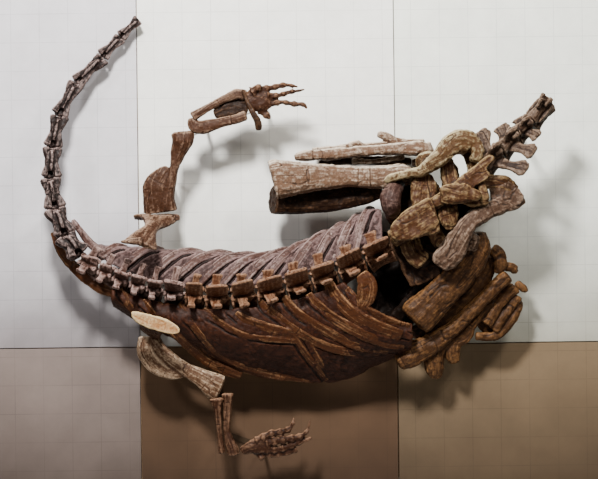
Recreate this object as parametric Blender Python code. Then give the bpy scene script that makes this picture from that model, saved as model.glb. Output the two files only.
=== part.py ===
# Fossil dinosaur skeleton of the long-necked plateosaur kind, mounted as it was found:
# lying on its belly, neck curled back, legs folded, fixed by a welded armature to a wall panel
# of six boards. Metres, +Z up, +X toward the tail. The origin is the middle of the panel's back
# face, and everything stands out from there toward -Y.

import math

import bmesh
import bpy
from mathutils import Matrix, Vector

for leftover in list(bpy.data.objects):
    bpy.data.objects.remove(leftover, do_unlink=True)

# ---------------------------------------------------------------- driving dimensions, metres
PANEL_WIDTH = 2.20
PANEL_HEIGHT = 1.80
BACKING_THICKNESS = 0.030
BOARD_THICKNESS = 0.020
BOARD_JOINT = 0.003
FIT_GAP = 0.0004            # clearance left between solids that meet
CM = 0.01                   # bones are laid out in centimetres on the panel
SHARP_EDGE = math.radians(40)
VIEWING_DISTANCE = 520.0    # centimetres; the rods hide behind the bones from here
BACKWARD = Vector((0, 1, 0))
OUTWARD = Vector((0, -1, 0))
BOARD_FACE = -(BACKING_THICKNESS + BOARD_THICKNESS)


def on_panel(across, up, off):
    """A point in centimetres: across and up the panel, and off its front face."""
    return Vector((across * CM, BOARD_FACE - off * CM, up * CM))


# ---------------------------------------------------------------- finishes
def finish(name, colour, roughness, metallic=0.0):
    material = bpy.data.materials.new(name)
    material.use_nodes = True
    shader = material.node_tree.nodes["Principled BSDF"]
    shader.inputs["Base Color"].default_value = (*colour, 1)
    shader.inputs["Roughness"].default_value = roughness
    shader.inputs["Metallic"].default_value = metallic
    return material


BONE_GREY = finish("bone_grey", (0.22, 0.16, 0.14), 0.75)
BONE_BROWN = finish("bone_brown", (0.15, 0.08, 0.045), 0.70)
BONE_PALE = finish("bone_pale", (0.42, 0.36, 0.27), 0.72)
BOARD_PALE = finish("board_pale", (0.66, 0.65, 0.63), 0.85)
BACKING_WOOD = finish("backing_wood", (0.36, 0.24, 0.13), 0.80)
STEEL_DARK = finish("steel_dark", (0.03, 0.03, 0.035), 0.45, 0.9)


# ---------------------------------------------------------------- closed lofts
def loft(centres, widths, depths, across, sides=8, square=False):
    """A closed body of rings round a line. across gives each ring's wide direction."""
    mesh = bmesh.new()
    rings = []
    turn = math.pi / sides if square else 0.0
    swell = 1.0 / math.cos(math.pi / sides) if square else 1.0
    last = len(centres) - 1
    for index, centre in enumerate(centres):
        ahead = centres[min(index + 1, last)] - centres[max(index - 1, 0)]
        ahead.normalize()
        side = across[index] - ahead * across[index].dot(ahead)
        side.normalize()
        depth = side.cross(ahead)
        ring = []
        for step in range(sides):
            angle = turn + step * math.tau / sides
            reach = side * widths[index] * math.cos(angle) + depth * depths[index] * math.sin(angle)
            ring.append(mesh.verts.new(centre + reach * swell))
        rings.append(ring)
    for near, far in zip(rings, rings[1:]):
        for step in range(sides):
            after = (step + 1) % sides
            mesh.faces.new((near[step], near[after], far[after], far[step]))
    mesh.faces.new(rings[0])
    mesh.faces.new(rings[-1])
    bmesh.ops.recalc_face_normals(mesh, faces=mesh.faces)
    bmesh.ops.triangulate(mesh, faces=mesh.faces)
    return mesh


def stroke(stations, sides=8, square=False):
    """A loft along the panel. A station is across, up, off, half width, half depth in cm."""
    centres = [on_panel(*station[:3]) for station in stations]
    widths = [station[3] * CM for station in stations]
    depths = [station[4] * CM for station in stations]
    last = len(centres) - 1
    across = []
    for index in range(len(centres)):
        ahead = centres[min(index + 1, last)] - centres[max(index - 1, 0)]
        across.append(ahead.cross(BACKWARD))
    return loft(centres, widths, depths, across, sides, square)


# ---------------------------------------------------------------- making one body of many
def to_object(mesh, name, material=None):
    data = bpy.data.meshes.new(name)
    mesh.to_mesh(data)
    mesh.free()
    item = bpy.data.objects.new(name, data)
    bpy.context.collection.objects.link(item)
    if material:
        data.materials.append(material)
    return item


def apply_modifiers(body):
    shaped = body.evaluated_get(bpy.context.evaluated_depsgraph_get())
    data = bpy.data.meshes.new_from_object(shaped)
    body.modifiers.clear()
    spent = body.data
    body.data = data
    bpy.data.meshes.remove(spent)


def boolean(body, tool, operation):
    """Joins or cuts a body with another and keeps the result as its mesh."""
    step = body.modifiers.new("step", "BOOLEAN")
    step.operation = operation
    step.solver = "EXACT"
    step.object = tool
    apply_modifiers(body)


def islands(mesh):
    """The separate closed bodies of a mesh, each as a list of its corner points."""
    waiting = set(mesh.verts)
    found = []
    while waiting:
        reached = [waiting.pop()]
        for vertex in reached:
            for edge in vertex.link_edges:
                other = edge.other_vert(vertex)
                if other in waiting:
                    waiting.remove(other)
                    reached.append(other)
        found.append(reached)
    return sorted(found, key=len)


def tidy(body, weld=0.00005):
    """Welds slivers away and drops chips that a cut has freed."""
    mesh = bmesh.new()
    mesh.from_mesh(body.data)
    bmesh.ops.remove_doubles(mesh, verts=mesh.verts, dist=weld)
    bmesh.ops.dissolve_degenerate(mesh, edges=mesh.edges, dist=weld)
    chips = islands(mesh)[:-1]
    for chip in chips:
        bmesh.ops.delete(mesh, geom=chip, context="VERTS")
    bmesh.ops.triangulate(mesh, faces=mesh.faces)
    mesh.to_mesh(body.data)
    mesh.free()


def fuse(name, pieces, material, faces, grain=0.004):
    """One closed body from overlapping lofts, thinned to about so many triangles."""
    together = bmesh.new()
    for piece in pieces:
        piece.verts.index_update()
        corners = [together.verts.new(vertex.co) for vertex in piece.verts]
        for face in piece.faces:
            together.faces.new([corners[vertex.index] for vertex in face.verts])
        piece.free()
    body = to_object(together, name)
    skin = body.modifiers.new("one skin", "REMESH")
    skin.mode = "VOXEL"
    skin.voxel_size = grain
    apply_modifiers(body)
    thin = body.modifiers.new("thin out", "DECIMATE")
    thin.use_collapse_triangulate = True
    thin.ratio = faces / (2 * len(body.data.polygons))
    apply_modifiers(body)
    tidy(body)
    body.data.materials.clear()
    body.data.materials.append(material)
    return body


def weld(name, pieces, material):
    """One closed body from crisp pieces that cross one another."""
    body = to_object(pieces[0], name, material)
    for piece in pieces[1:]:
        tool = to_object(piece, "tool")
        boolean(body, tool, "UNION")
        bpy.data.objects.remove(tool, do_unlink=True)
    tidy(body)
    mesh = bmesh.new()
    mesh.from_mesh(body.data)
    bmesh.ops.dissolve_limit(mesh, angle_limit=math.radians(0.5), verts=mesh.verts, edges=mesh.edges)
    bmesh.ops.triangulate(mesh, faces=mesh.faces)
    mesh.to_mesh(body.data)
    mesh.free()
    body.data.materials.clear()
    body.data.materials.append(material)
    return body


def grown(body, amount):
    """A copy of a body, swollen by a clearance, for cutting its neighbour."""
    mesh = bmesh.new()
    mesh.from_mesh(body.data)
    mesh.normal_update()
    for vertex in mesh.verts:
        vertex.co += vertex.normal * amount * min(vertex.calc_shell_factor(), 3.0)
    return to_object(mesh, "tool")


def spans(body):
    low = [min(vertex.co[axis] for vertex in body.data.vertices) for axis in range(3)]
    high = [max(vertex.co[axis] for vertex in body.data.vertices) for axis in range(3)]
    return low, high


def part_off(body, neighbours):
    """Cuts a body clear of the neighbours that it would run into."""
    low, high = spans(body)
    for neighbour in neighbours:
        near, far = spans(neighbour)
        apart = any(low[axis] > far[axis] or high[axis] < near[axis] for axis in range(3))
        if apart:
            continue
        tool = grown(neighbour, FIT_GAP)
        boolean(body, tool, "DIFFERENCE")
        bpy.data.objects.remove(tool, do_unlink=True)
    tidy(body)


def along_line(line, position):
    """Height, or any later column, of a line of rows at a place across the panel."""
    if position <= line[0][0]:
        return Vector(line[0][1:])
    for left, right in zip(line, line[1:]):
        if position <= right[0]:
            share = (position - left[0]) / (right[0] - left[0])
            return Vector(left[1:]).lerp(Vector(right[1:]), share)
    return Vector(line[-1][1:])


# ---------------------------------------------------------------- vertebrae
# The line runs along the tops of the vertebrae, through the gaps between them: across, up, off.
NECK_LINE = [
    (-54.5, 77, 5), (-61, 71, 5.5), (-67, 64, 6.5), (-76, 55, 8.5), (-81.5, 43.5, 11.5),
    (-83.5, 32.5, 14.5), (-84, 22, 17), (-82, 11.5, 19.5), (-78.5, 2.5, 22), (-73.5, -4, 23.5),
]
TRUNK_LINE = [
    (-73.5, -4, 23.5), (-67, -7.5, 25), (-62, -9.5, 26), (-56.5, -11.5, 26.5), (-51, -13, 27),
    (-45.5, -14, 27), (-38.5, -15, 27.5), (-32, -16, 28), (-23.5, -16, 28), (-15, -15, 28),
    (-5.5, -13.5, 28), (3, -11, 28), (11.5, -8, 28), (20.5, -4.5, 28.5), (29.5, 0, 29),
]
TAIL_LINE = [(61, 24, 31), (66.5, 29, 30), (72, 34.5, 29), (77, 38.5, 28), (83.5, 46, 27)]
NECK_FACES = 100             # triangles that a body is thinned to
TRUNK_FACES = 120
TAIL_FACES = 140
CAGE_FACES = 760
SPINE_SUNK = 0.62            # the line above follows the spines this far up from their roots
VERTEBRA_GAP = 0.12          # cm left at each end for the lost cartilage
TRUNK_ROLL = math.radians(27)
TAIL_ROLL = math.radians(24)
NECK_ROLL = math.radians(8)


class Seat:
    """Where one vertebra lies: its own lengthwise, rightward and upward directions."""

    def __init__(self, start, end, roll, sink=0.0):
        self.start = on_panel(*start)
        ahead = on_panel(*end) - self.start
        self.length = ahead.length / CM
        self.ahead = ahead.normalized()
        right = Vector((-self.ahead.z, 0, self.ahead.x))
        upward = OUTWARD * math.cos(roll) + right * math.sin(roll)
        self.right = (self.ahead.cross(upward)).normalized()
        if self.right.dot(right) < 0:
            self.right = -self.right
        self.up = upward - self.ahead * upward.dot(self.ahead)
        self.up.normalize()
        self.start = self.start - self.up * sink * CM

    def point(self, share, right, up):
        along = self.start + self.ahead * share * self.length * CM
        return along + self.right * right * CM + self.up * up * CM

    def rod(self, stations, sides=8, square=False):
        """A loft lengthwise: share of the length, right, up, half width, half height."""
        centres = [self.point(*station[:3]) for station in stations]
        widths = [station[3] * CM for station in stations]
        depths = [station[4] * CM for station in stations]
        return loft(centres, widths, depths, [self.right] * len(centres), sides, square)

    def plate(self, stations):
        """A loft standing up or out: share, right, up, half length, half thickness."""
        centres = [self.point(*station[:3]) for station in stations]
        lengths = [station[3] * CM for station in stations]
        depths = [station[4] * CM for station in stations]
        return loft(centres, lengths, depths, [self.ahead] * len(centres), 4, True)


def trunk_vertebra(name, seat, girth, reach, height):
    """Spool below, arch and tall spine above, a broad process each side, knobs at the back."""
    near = VERTEBRA_GAP / seat.length
    far = 1 - near
    waist = girth * 0.74
    half = seat.length / 2
    pieces = [
        seat.rod([(near, 0, -7, girth, girth), (0.5, 0, -6.8, waist, waist), (far, 0, -7, girth, girth)]),
        seat.plate([(0.5, 0, -5.5, half * 0.72, 1.5), (0.5, 0, 0.4, half * 0.88, 1.7)]),
        seat.plate([(0.52, 0, -0.4, half * 0.66, 0.75), (0.60, 0, height * 0.6, half * 0.66, 0.6),
                    (0.63, 0, height, half * 0.74, 0.85)]),
    ]
    for side in (-1, 1):
        pieces.append(seat.plate([
            (0.45, side * 0.6, -0.8, half * 0.52, 0.8),
            (0.48, side * reach * 0.6, reach * 0.22, half * 0.36, 0.6),
            (0.54, side * reach, reach * 0.40, half * 0.46, 0.8),
        ]))
        pieces.append(seat.rod([(0.70, side * 1.3, 0.2, 0.9, 0.8), (far, side * 1.7, 1.1, 0.8, 0.7)], 5))
        pieces.append(seat.rod([(near, side * 1.7, 0.1, 0.9, 0.7), (0.25, side * 1.3, -0.2, 0.8, 0.8)], 5))
    return fuse(name, pieces, BONE_BROWN if seat.start.x > -0.30 else BONE_GREY, TRUNK_FACES)


def neck_vertebra(name, seat, girth):
    """Long hourglass: slim spool, arch that spreads at both ends, low blade on top."""
    near = VERTEBRA_GAP / seat.length
    far = 1 - near
    deep = girth * 0.85
    pieces = [
        seat.rod([(near, 0, -deep, girth * 0.70, girth * 0.62),
                  (0.5, 0, -deep * 0.9, girth * 0.60, girth * 0.56),
                  (far, 0, -deep, girth * 0.74, girth * 0.66)]),
        seat.rod([(near, 0, 0, girth, girth * 0.32), (0.3, 0, 0.1, girth * 0.78, girth * 0.42),
                  (0.58, 0, 0.1, girth * 0.72, girth * 0.42),
                  (far, 0, 0.3, girth * 1.04, girth * 0.34)], 6),
        seat.plate([(0.5, 0, -deep, seat.length * 0.30, girth * 0.30),
                    (0.5, 0, 0, seat.length * 0.32, girth * 0.34)]),
        seat.plate([(0.55, 0, 0, seat.length * 0.36, girth * 0.20),
                    (0.60, 0, girth * 0.85, seat.length * 0.24, girth * 0.12)]),
    ]
    return fuse(name, pieces, BONE_GREY, NECK_FACES, 0.003)


def tail_vertebra(name, seat, girth, right_reach, left_reach, sweep, height):
    """Spool, arch and leaning spine, with a broad process each side swept toward the tail."""
    near = VERTEBRA_GAP / seat.length
    far = 1 - near
    half = seat.length / 2
    pieces = [
        seat.rod([(near, 0, -5, girth, girth), (0.5, 0, -4.8, girth * 0.78, girth * 0.8),
                  (far, 0, -5, girth, girth)]),
        seat.rod([(near, 0, -0.6, girth * 0.8, 2.6), (0.5, 0, -0.4, girth * 0.62, 2.4),
                  (far, 0, -0.6, girth * 0.72, 2.6)], 6),
        seat.plate([(0.55, 0, 0.4, half * 0.7, 0.8), (0.85, 0, height, half * 0.8, 0.7)]),
    ]
    for side, reach in ((1, right_reach), (-1, left_reach)):
        if reach:
            pieces.append(seat.plate([
                (0.50, side * girth * 0.4, -1.6, half * 0.62, 1.0),
                (0.50 + sweep * 0.5, side * reach * 0.55, -1.4, half * 0.45, 0.8),
                (0.50 + sweep * 0.9, side * reach * 0.85, -1.2, half * 0.80, 0.9),
                (0.50 + sweep, side * reach, -1.2, half * 0.55, 0.7),
            ]))
    return fuse(name, pieces, BONE_BROWN, TAIL_FACES)


def make_neck():
    made = []
    count = len(NECK_LINE) - 1
    for index in range(count):
        roll = NECK_ROLL + TRUNK_ROLL * 0.7 * (index / count) ** 3
        seat = Seat(NECK_LINE[index], NECK_LINE[index + 1], roll)
        girth = 1.7 + 2.3 * ((index + 0.5) / count) ** 0.8
        made.append(neck_vertebra("neck_vertebra_%d" % (index + 1), seat, girth))
    return made


def make_trunk():
    made = []
    count = len(TRUNK_LINE) - 1
    for index in range(count):
        share = index / (count - 1)
        girth = 2.7 + 0.5 * share
        reach = 6.0 + 0.8 * math.sin(math.pi * share)
        height = 3.6 + 4.4 * min(1.0, share * 1.8)
        seat = Seat(TRUNK_LINE[index], TRUNK_LINE[index + 1], TRUNK_ROLL, height * SPINE_SUNK)
        made.append(trunk_vertebra("trunk_vertebra_%02d" % (index + 1), seat, girth, reach, height))
    return made


def make_tail():
    right_reach = (10.0, 6.0, 3.8, 3.4)
    left_reach = (11.5, 9.5, 6.0, 3.0)
    sweep = (0.62, 0.34, 0.20, 0.0)
    made = []
    for index in range(len(TAIL_LINE) - 1):
        seat = Seat(TAIL_LINE[index], TAIL_LINE[index + 1], TAIL_ROLL)
        made.append(tail_vertebra("tail_vertebra_%d" % (index + 1), seat, 3.4 - 0.15 * index,
                                  right_reach[index], left_reach[index], sweep[index], 5.5 - 1.1 * index))
    return made


# ---------------------------------------------------------------- rib cage
# Each side is one crushed sheet of ribs and the rock between them. A row is across, up, off.
LEFT_TOP = [
    (-63, -15.5, 20), (-50, -20, 20.5), (-33, -23.4, 21.5), (-16, -22.8, 22.5), (0, -19.8, 22.5),
    (10, -16.5, 22.5),
    (15, -14.5, 23.5), (18, -18, 25), (21.5, -21.5, 25), (28, -25.5, 23), (38.5, -29.5, 20),
]
LEFT_BELLY = [
    (-63, -21.5, 16), (-51, -29, 15.5), (-41, -33.5, 15), (-26, -41.5, 14), (-18, -45, 13),
    (-8, -45.5, 12),
    (4, -48.5, 11), (11, -49, 10), (17, -47.5, 10), (27, -42.5, 12), (38.5, -38, 14),
]
RIGHT_ROOT = [
    (-70, -5, 17.5), (-50, -13, 18), (-32, -16, 18.5), (-15, -15.1, 18.5), (0, -11.8, 18.5),
    (14, -6.9, 18.8),
    (27, -1.3, 19),
]
RIGHT_CREST = [
    (-70, -1.5, 12), (-57, -2.4, 12), (-34, -4.2, 12), (-13, -5.8, 12), (-3, -3.6, 11.5), (6, 0.4, 11.5),
    (17.5, 5.6, 11), (24, 9.4, 11), (27.5, 9.6, 11.5), (30, 7, 12),
]
SHEET_HALF = 0.7             # cm, half the thickness of the rock between the ribs
RIB_PROUD = 0.5              # cm that a rib stands out of the rock
BULGE = 4.5                  # cm that the left side bows out between backbone and belly


def left_flank(across, share):
    """A point on the left side, from the backbone (0) to the belly (1)."""
    top = along_line(LEFT_TOP, across)
    belly = along_line(LEFT_BELLY, across)
    place = top.lerp(belly, share)
    return Vector((across, place.x, place.y + BULGE * 4 * share * (1 - share)))


def right_flank(across, share):
    """A point on the right side, from the backbone (0) over the crest (0.7) to the panel (1)."""
    root = along_line(RIGHT_ROOT, across)
    crest = along_line(RIGHT_CREST, across)
    rise = math.sin(min(share / 0.7, 1.0) * math.pi / 2)
    up = root.x + (crest.x - root.x) * rise - max(0.0, share - 0.7) * 4
    off = root.y + (crest.y - root.y) * (share / 0.7) ** 1.6
    return Vector((across, up, max(off, 5.5)))


def sheet(surface, first, last, columns, rows, half=SHEET_HALF):
    """A closed curved slab over a flank."""
    mesh = bmesh.new()
    grids = []
    for sign in (1, -1):
        grid = []
        for column in range(columns + 1):
            across = first + (last - first) * column / columns
            line = []
            for row in range(rows + 1):
                share = row / rows
                place = surface(across, share)
                ahead = surface(across + 0.5, share) - surface(across - 0.5, share)
                down = surface(across, min(1, share + 0.05)) - surface(across, max(0, share - 0.05))
                away = ahead.cross(down).normalized()
                if away.z < 0 or (abs(away.z) < 0.05 and away.y < 0):
                    away = -away
                line.append(mesh.verts.new(on_panel(*(place + away * half * sign))))
            grid.append(line)
        grids.append(grid)
    front, back = grids
    for grid in grids:
        for column in range(columns):
            for row in range(rows):
                mesh.faces.new((grid[column][row], grid[column + 1][row],
                                grid[column + 1][row + 1], grid[column][row + 1]))
    for column in range(columns):
        for row in (0, rows):
            mesh.faces.new((front[column][row], front[column + 1][row],
                            back[column + 1][row], back[column][row]))
    for row in range(rows):
        for column in (0, columns):
            mesh.faces.new((front[column][row], front[column][row + 1],
                            back[column][row + 1], back[column][row]))
    bmesh.ops.recalc_face_normals(mesh, faces=mesh.faces)
    return mesh


def flank_height(across, up):
    """How far off the panel the left side is at a place on it."""
    top = along_line(LEFT_TOP, across)
    belly = along_line(LEFT_BELLY, across)
    share = max(0.0, min(1.0, (top.x - up) / (top.x - belly.x)))
    return left_flank(across, share).z


def left_rib(half_width, edge_line):
    """A rib blade on the left side, below the line of its upper edge."""
    stations = []
    last = len(edge_line) - 1
    for index, (across, up) in enumerate(edge_line):
        ahead = Vector(edge_line[min(index + 1, last)]) - Vector(edge_line[max(index - 1, 0)])
        ahead.normalize()
        middle = (across + ahead.y * half_width, up - ahead.x * half_width)
        slim = 0.75 if index in (0, last) else 1.0
        stations.append((*middle, flank_height(*middle) + RIB_PROUD, half_width * slim, slim))
    return stroke(stations, 5)


def right_rib(root, sweep, width=1.0):
    """A rib blade on the right side, swept back from its root."""
    stations = []
    for share in (0.02, 0.22, 0.45, 0.70, 0.95):
        place = right_flank(root + sweep * share, share)
        stations.append((place.x, place.y + 0.5, place.z + 0.3, width, 1.2))
    return stroke(stations, 5)


LEFT_RIBS = [                # the half width of each, and the line of its upper edge
    (1.0, [(-58.5, -15), (-56.5, -20), (-53.5, -23.5)]),
    (1.2, [(-51.5, -19), (-49.5, -21.5), (-46.5, -25.5)]),
    (1.5, [(-46, -19.5), (-41.5, -28), (-34, -36.5), (-29.5, -40), (-24.5, -42.5), (-19.5, -44.5)]),
    (1.1, [(-39, -20), (-33.5, -29), (-27, -36.5), (-18, -41.5), (-7, -45), (5, -47)]),
    (0.9, [(-31.5, -22), (-26.5, -26), (-18.5, -30.5), (-9.5, -32), (-0.5, -33)]),
    (1.6, [(-20.5, -23), (-17.5, -25), (-9.5, -28), (-1.5, -29.5)]),
    (1.2, [(-12.5, -19), (-8.5, -23), (0, -29.5), (8, -34), (16.5, -36.5), (27, -37)]),
    (1.3, [(-4, -18), (0, -23), (6.5, -27.5), (14.5, -32), (20, -34.5), (30, -36)]),
    (1.5, [(4.5, -17), (7, -20.5), (13.5, -25.5), (21.5, -30), (29.5, -33.2), (35.5, -34)]),
    (2.0, [(12, -13.5), (14, -17.5), (20, -23.5), (28.5, -28), (35, -30)]),
    (1.4, [(17, -15.5), (22.5, -22), (31, -26.5), (37, -28)]),
    (1.0, [(-1.5, -31), (4, -39.5), (10, -47.5)]),
    (0.9, [(1.5, -30), (6.5, -39), (8.5, -43)]),
]
RIGHT_RIBS = [(-68, 9), (-60, 14), (-51, 19), (-43.5, 23), (-35, 24), (-27, 21), (-20, 19), (-12, 17),
              (-4, 16), (4, 14), (12, 11), (18.5, 8)]


def make_left_cage():
    pieces = [sheet(left_flank, -63, 37.5, 14, 4)]
    for half_width, edge_line in LEFT_RIBS:
        pieces.append(left_rib(half_width, edge_line))
    pieces.append(stroke([(-61, -18, 18, 1.6, 1.2), (-68, -15, 17.5, 2.0, 1.2), (-75, -9.5, 17, 2.0, 1.2),
                          (-80.5, -3.5, 16.5, 1.5, 1.0), (-83.5, 3.5, 16.5, 0.8, 0.7)], 6))
    pieces.append(stroke([(20.5, -11.5, 27, 2.2, 0.8), (22.5, -15, 27, 3.3, 0.9),
                          (22, -19.5, 26.5, 3.2, 0.9), (20, -23, 25.5, 1.6, 0.8)], 6))
    return fuse("rib_cage_left", pieces, BONE_BROWN, CAGE_FACES)


def make_right_cage():
    pieces = [sheet(right_flank, -70, 28, 12, 5)]
    for root, sweep in RIGHT_RIBS:
        pieces.append(right_rib(root, sweep))
    pieces.append(stroke([(-66, -4, 17, 1.4, 1.0), (-70.5, -0.5, 18, 1.5, 1.0), (-74, 4, 18.5, 1.2, 0.9),
                          (-76.5, 7.5, 18.5, 0.8, 0.7)], 6))
    return fuse("rib_cage_right", pieces, BONE_GREY, CAGE_FACES)


# ---------------------------------------------------------------- limbs and girdles
FACES_BASE = 36              # triangles of a bone, and for each station of its strokes
FACES_PER_STATION = 6

# Each bone is a few strokes; a station is across, up, off, half width, half depth in cm.
RIGHT_FORE = {
    "scapula_right": [
        [(-52, -1, 31, 5.6, 1), (-51, 1.5, 27, 4.0, 1.4), (-49.5, 4.5, 22, 2.4, 1.6),
         (-48.5, 7, 17, 5.0, 1.5), (-48.3, 8, 14, 8.2, 1.2), (-48.3, 8.3, 12.5, 7.6, 0.9)],
        [(-58.5, 0, 31, 0.4, 0.7), (-55.5, 0, 31, 1.0, 1.2), (-51.5, 0, 31, 1.5, 1.5)],
    ],
    "humerus_right": [
        [(-44.5, 10.5, 13, 3.1, 2.6), (-44.5, 15.5, 14, 2.4, 2.4), (-43, 21, 15, 1.9, 2),
         (-42, 25, 15.5, 1.6, 1.8), (-40.5, 30, 16, 2.7, 2), (-39, 34, 17, 3.7, 2.6),
         (-39, 37, 17, 4.1, 2.4)],
        [(-47.5, 10, 13, 5.5, 2.2), (-48, 14.5, 14.5, 4.9, 1.6), (-48, 19, 15.5, 4.6, 1.3),
         (-46, 22.5, 15.5, 2.9, 1.2), (-44, 25, 15.5, 1.4, 1)],
    ],
    "radius_right": [
        [(-35.5, 41.8, 18, 1.8, 1.5), (-32.9, 43.3, 18, 1.4, 1.3), (-28.8, 45.7, 18, 1.3, 1.3),
         (-24.1, 48, 18, 1.5, 1.4), (-20, 49.4, 18, 1.8, 1.6), (-17.3, 48.8, 18, 1.8, 1.5)],
    ],
    "ulna_right": [
        [(-35.8, 41.6, 17, 1.5, 1.5), (-35.1, 39.2, 17, 2.3, 1.6), (-33, 38.3, 17.3, 2.4, 1.6),
         (-29.6, 38.9, 17.6, 2.2, 1.5), (-25.5, 39.9, 18, 1.8, 1.4), (-21.4, 40.7, 18.5, 1.6, 1.4),
         (-17.1, 42.1, 18, 1.8, 1.6)],
        [(-27.2, 43.2, 17, 1.8, 0.8), (-23.5, 44.5, 17, 2.7, 0.8), (-19.4, 45.4, 17, 3.1, 0.8),
         (-16.7, 45.5, 17, 2.4, 0.8)],
    ],
    "hand_right": [
        [(-16.7, 46, 18, 3.2, 1.8), (-13.9, 47.3, 18, 4.2, 1.8), (-11.3, 46.6, 18, 3.9, 1.8),
         (-9.4, 44.6, 17.5, 2.4, 1.4)],
        [(-15.2, 49.9, 19, 1.8, 1.4), (-13.3, 51.3, 19.5, 1.3, 1.5), (-13.2, 52.3, 19.5, 0.8, 0.9)],
        [(-13.2, 50.6, 18.5, 1.5, 1.5), (-8.5, 51.4, 18, 1, 1.3), (-3.8, 52.2, 18, 0.8, 1.1),
         (0.3, 51.6, 17.5, 0.3, 0.6)],
        [(-10.2, 48.7, 18.5, 1.3, 1.4), (-6.2, 48.7, 18, 0.9, 1.2), (-3.1, 49.7, 18, 0.9, 1.1),
         (2.6, 50.7, 18, 0.3, 0.6)],
        [(-9.6, 45.8, 18, 1.2, 1.4), (-4.8, 46.5, 18, 0.9, 1.3), (-1.1, 45.8, 18, 0.9, 1.1),
         (1.9, 45.6, 18, 0.7, 0.9), (3.2, 44.3, 18, 0.3, 0.5)],
        [(-12.7, 43.9, 17.5, 1.5, 1.2), (-10.1, 41.8, 17.5, 1.1, 1.1), (-9.4, 40.9, 17.5, 0.6, 0.8)],
        [(-18.4, 50.5, 20.5, 0.6, 0.9), (-16.6, 46.1, 20.5, 0.7, 1), (-14.5, 42, 20.5, 1.1, 1.2),
         (-13.3, 39.4, 20, 1.3, 1.3), (-13.2, 36.9, 19.5, 1, 1.1)],
    ],
}
LEFT_FORE = {
    "scapula_left": [
        [(-55, -24.5, 29.5, 1.2, 0.9), (-51, -26, 29.5, 2.7, 1), (-46, -27.6, 29.5, 3.0, 1),
         (-41, -29.2, 29.5, 1.5, 0.8)],
        [(-47.5, -26.8, 28, 5.6, 1.3), (-48.5, -28, 25, 5.6, 1.5), (-50, -29.5, 20, 5.2, 1.5),
         (-51, -31, 15, 5.1, 1.6)],
    ],
    "humerus_left": [
        [(-51, -32.5, 13, 3.1, 2.4), (-48.5, -36.5, 13.5, 2.7, 2.4), (-44.5, -40, 14, 2.4, 2.1),
         (-39.5, -43.5, 14.5, 2.4, 2), (-34, -46.5, 15, 3.2, 2.2), (-30, -49, 15, 4.4, 2.6),
         (-27, -50.5, 15, 4.6, 2.4)],
        [(-52, -32.5, 13.5, 3.1, 2), (-52, -37.5, 14.5, 3.6, 1.5), (-49, -42, 15, 3.2, 1.3),
         (-44.5, -45, 15, 1.9, 1.2), (-40, -45.5, 14.5, 1.2, 1)],
    ],
    "radius_left": [
        [(-25, -52, 15, 2.2, 1.8), (-25, -55.5, 15, 1.6, 1.4), (-25.4, -62.5, 15, 1.2, 1.1),
         (-24.8, -67, 15, 1.4, 1.2), (-23.3, -71.5, 15, 2.2, 1.6), (-23, -73.2, 15, 1.8, 1.6)],
    ],
    "ulna_left": [
        [(-28.6, -53.5, 16, 2.5, 2), (-28.3, -57.5, 16, 1.4, 1.5), (-27.8, -64.5, 15.5, 0.9, 1),
         (-27.4, -69, 15, 1.1, 1.2), (-27, -72.5, 15, 1.3, 1.2)],
    ],
    "hand_left": [
        [(-20.5, -72, 14, 1.4, 1.3), (-17.5, -70.5, 14.5, 2.2, 1.6), (-14, -70, 14.5, 2.9, 1.7),
         (-10.5, -70, 14.5, 2.7, 1.5)],
        [(-15.5, -68, 15, 1.2, 1.3), (-10.5, -66, 15, 1.4, 1.3), (-5.5, -65, 15, 1.2, 1.2),
         (-3, -63, 15, 0.7, 0.9), (-2.5, -60.5, 15, 0.3, 0.4)],
        [(-12, -69, 15, 1.4, 1.3), (-6, -68, 15, 1.3, 1.3), (-0.5, -67, 15, 1.1, 1.1),
         (2, -65, 15, 0.7, 0.9), (3, -61.5, 15, 0.3, 0.4)],
        [(-12, -71.5, 14.5, 1.4, 1.3), (-6.5, -71, 14.5, 1.2, 1.2), (-1, -69, 14.5, 1.0, 1.1),
         (3.5, -67.5, 14.5, 0.6, 0.8)],
        [(-13.5, -72.5, 14, 1.4, 1.2), (-8, -73, 14, 1.1, 1.1), (-1.5, -71.5, 14, 1.0, 1)],
        [(-15.5, -72, 14, 1.2, 1.2), (-13, -74.5, 14, 1.1, 1.2)],
    ],
}
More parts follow.
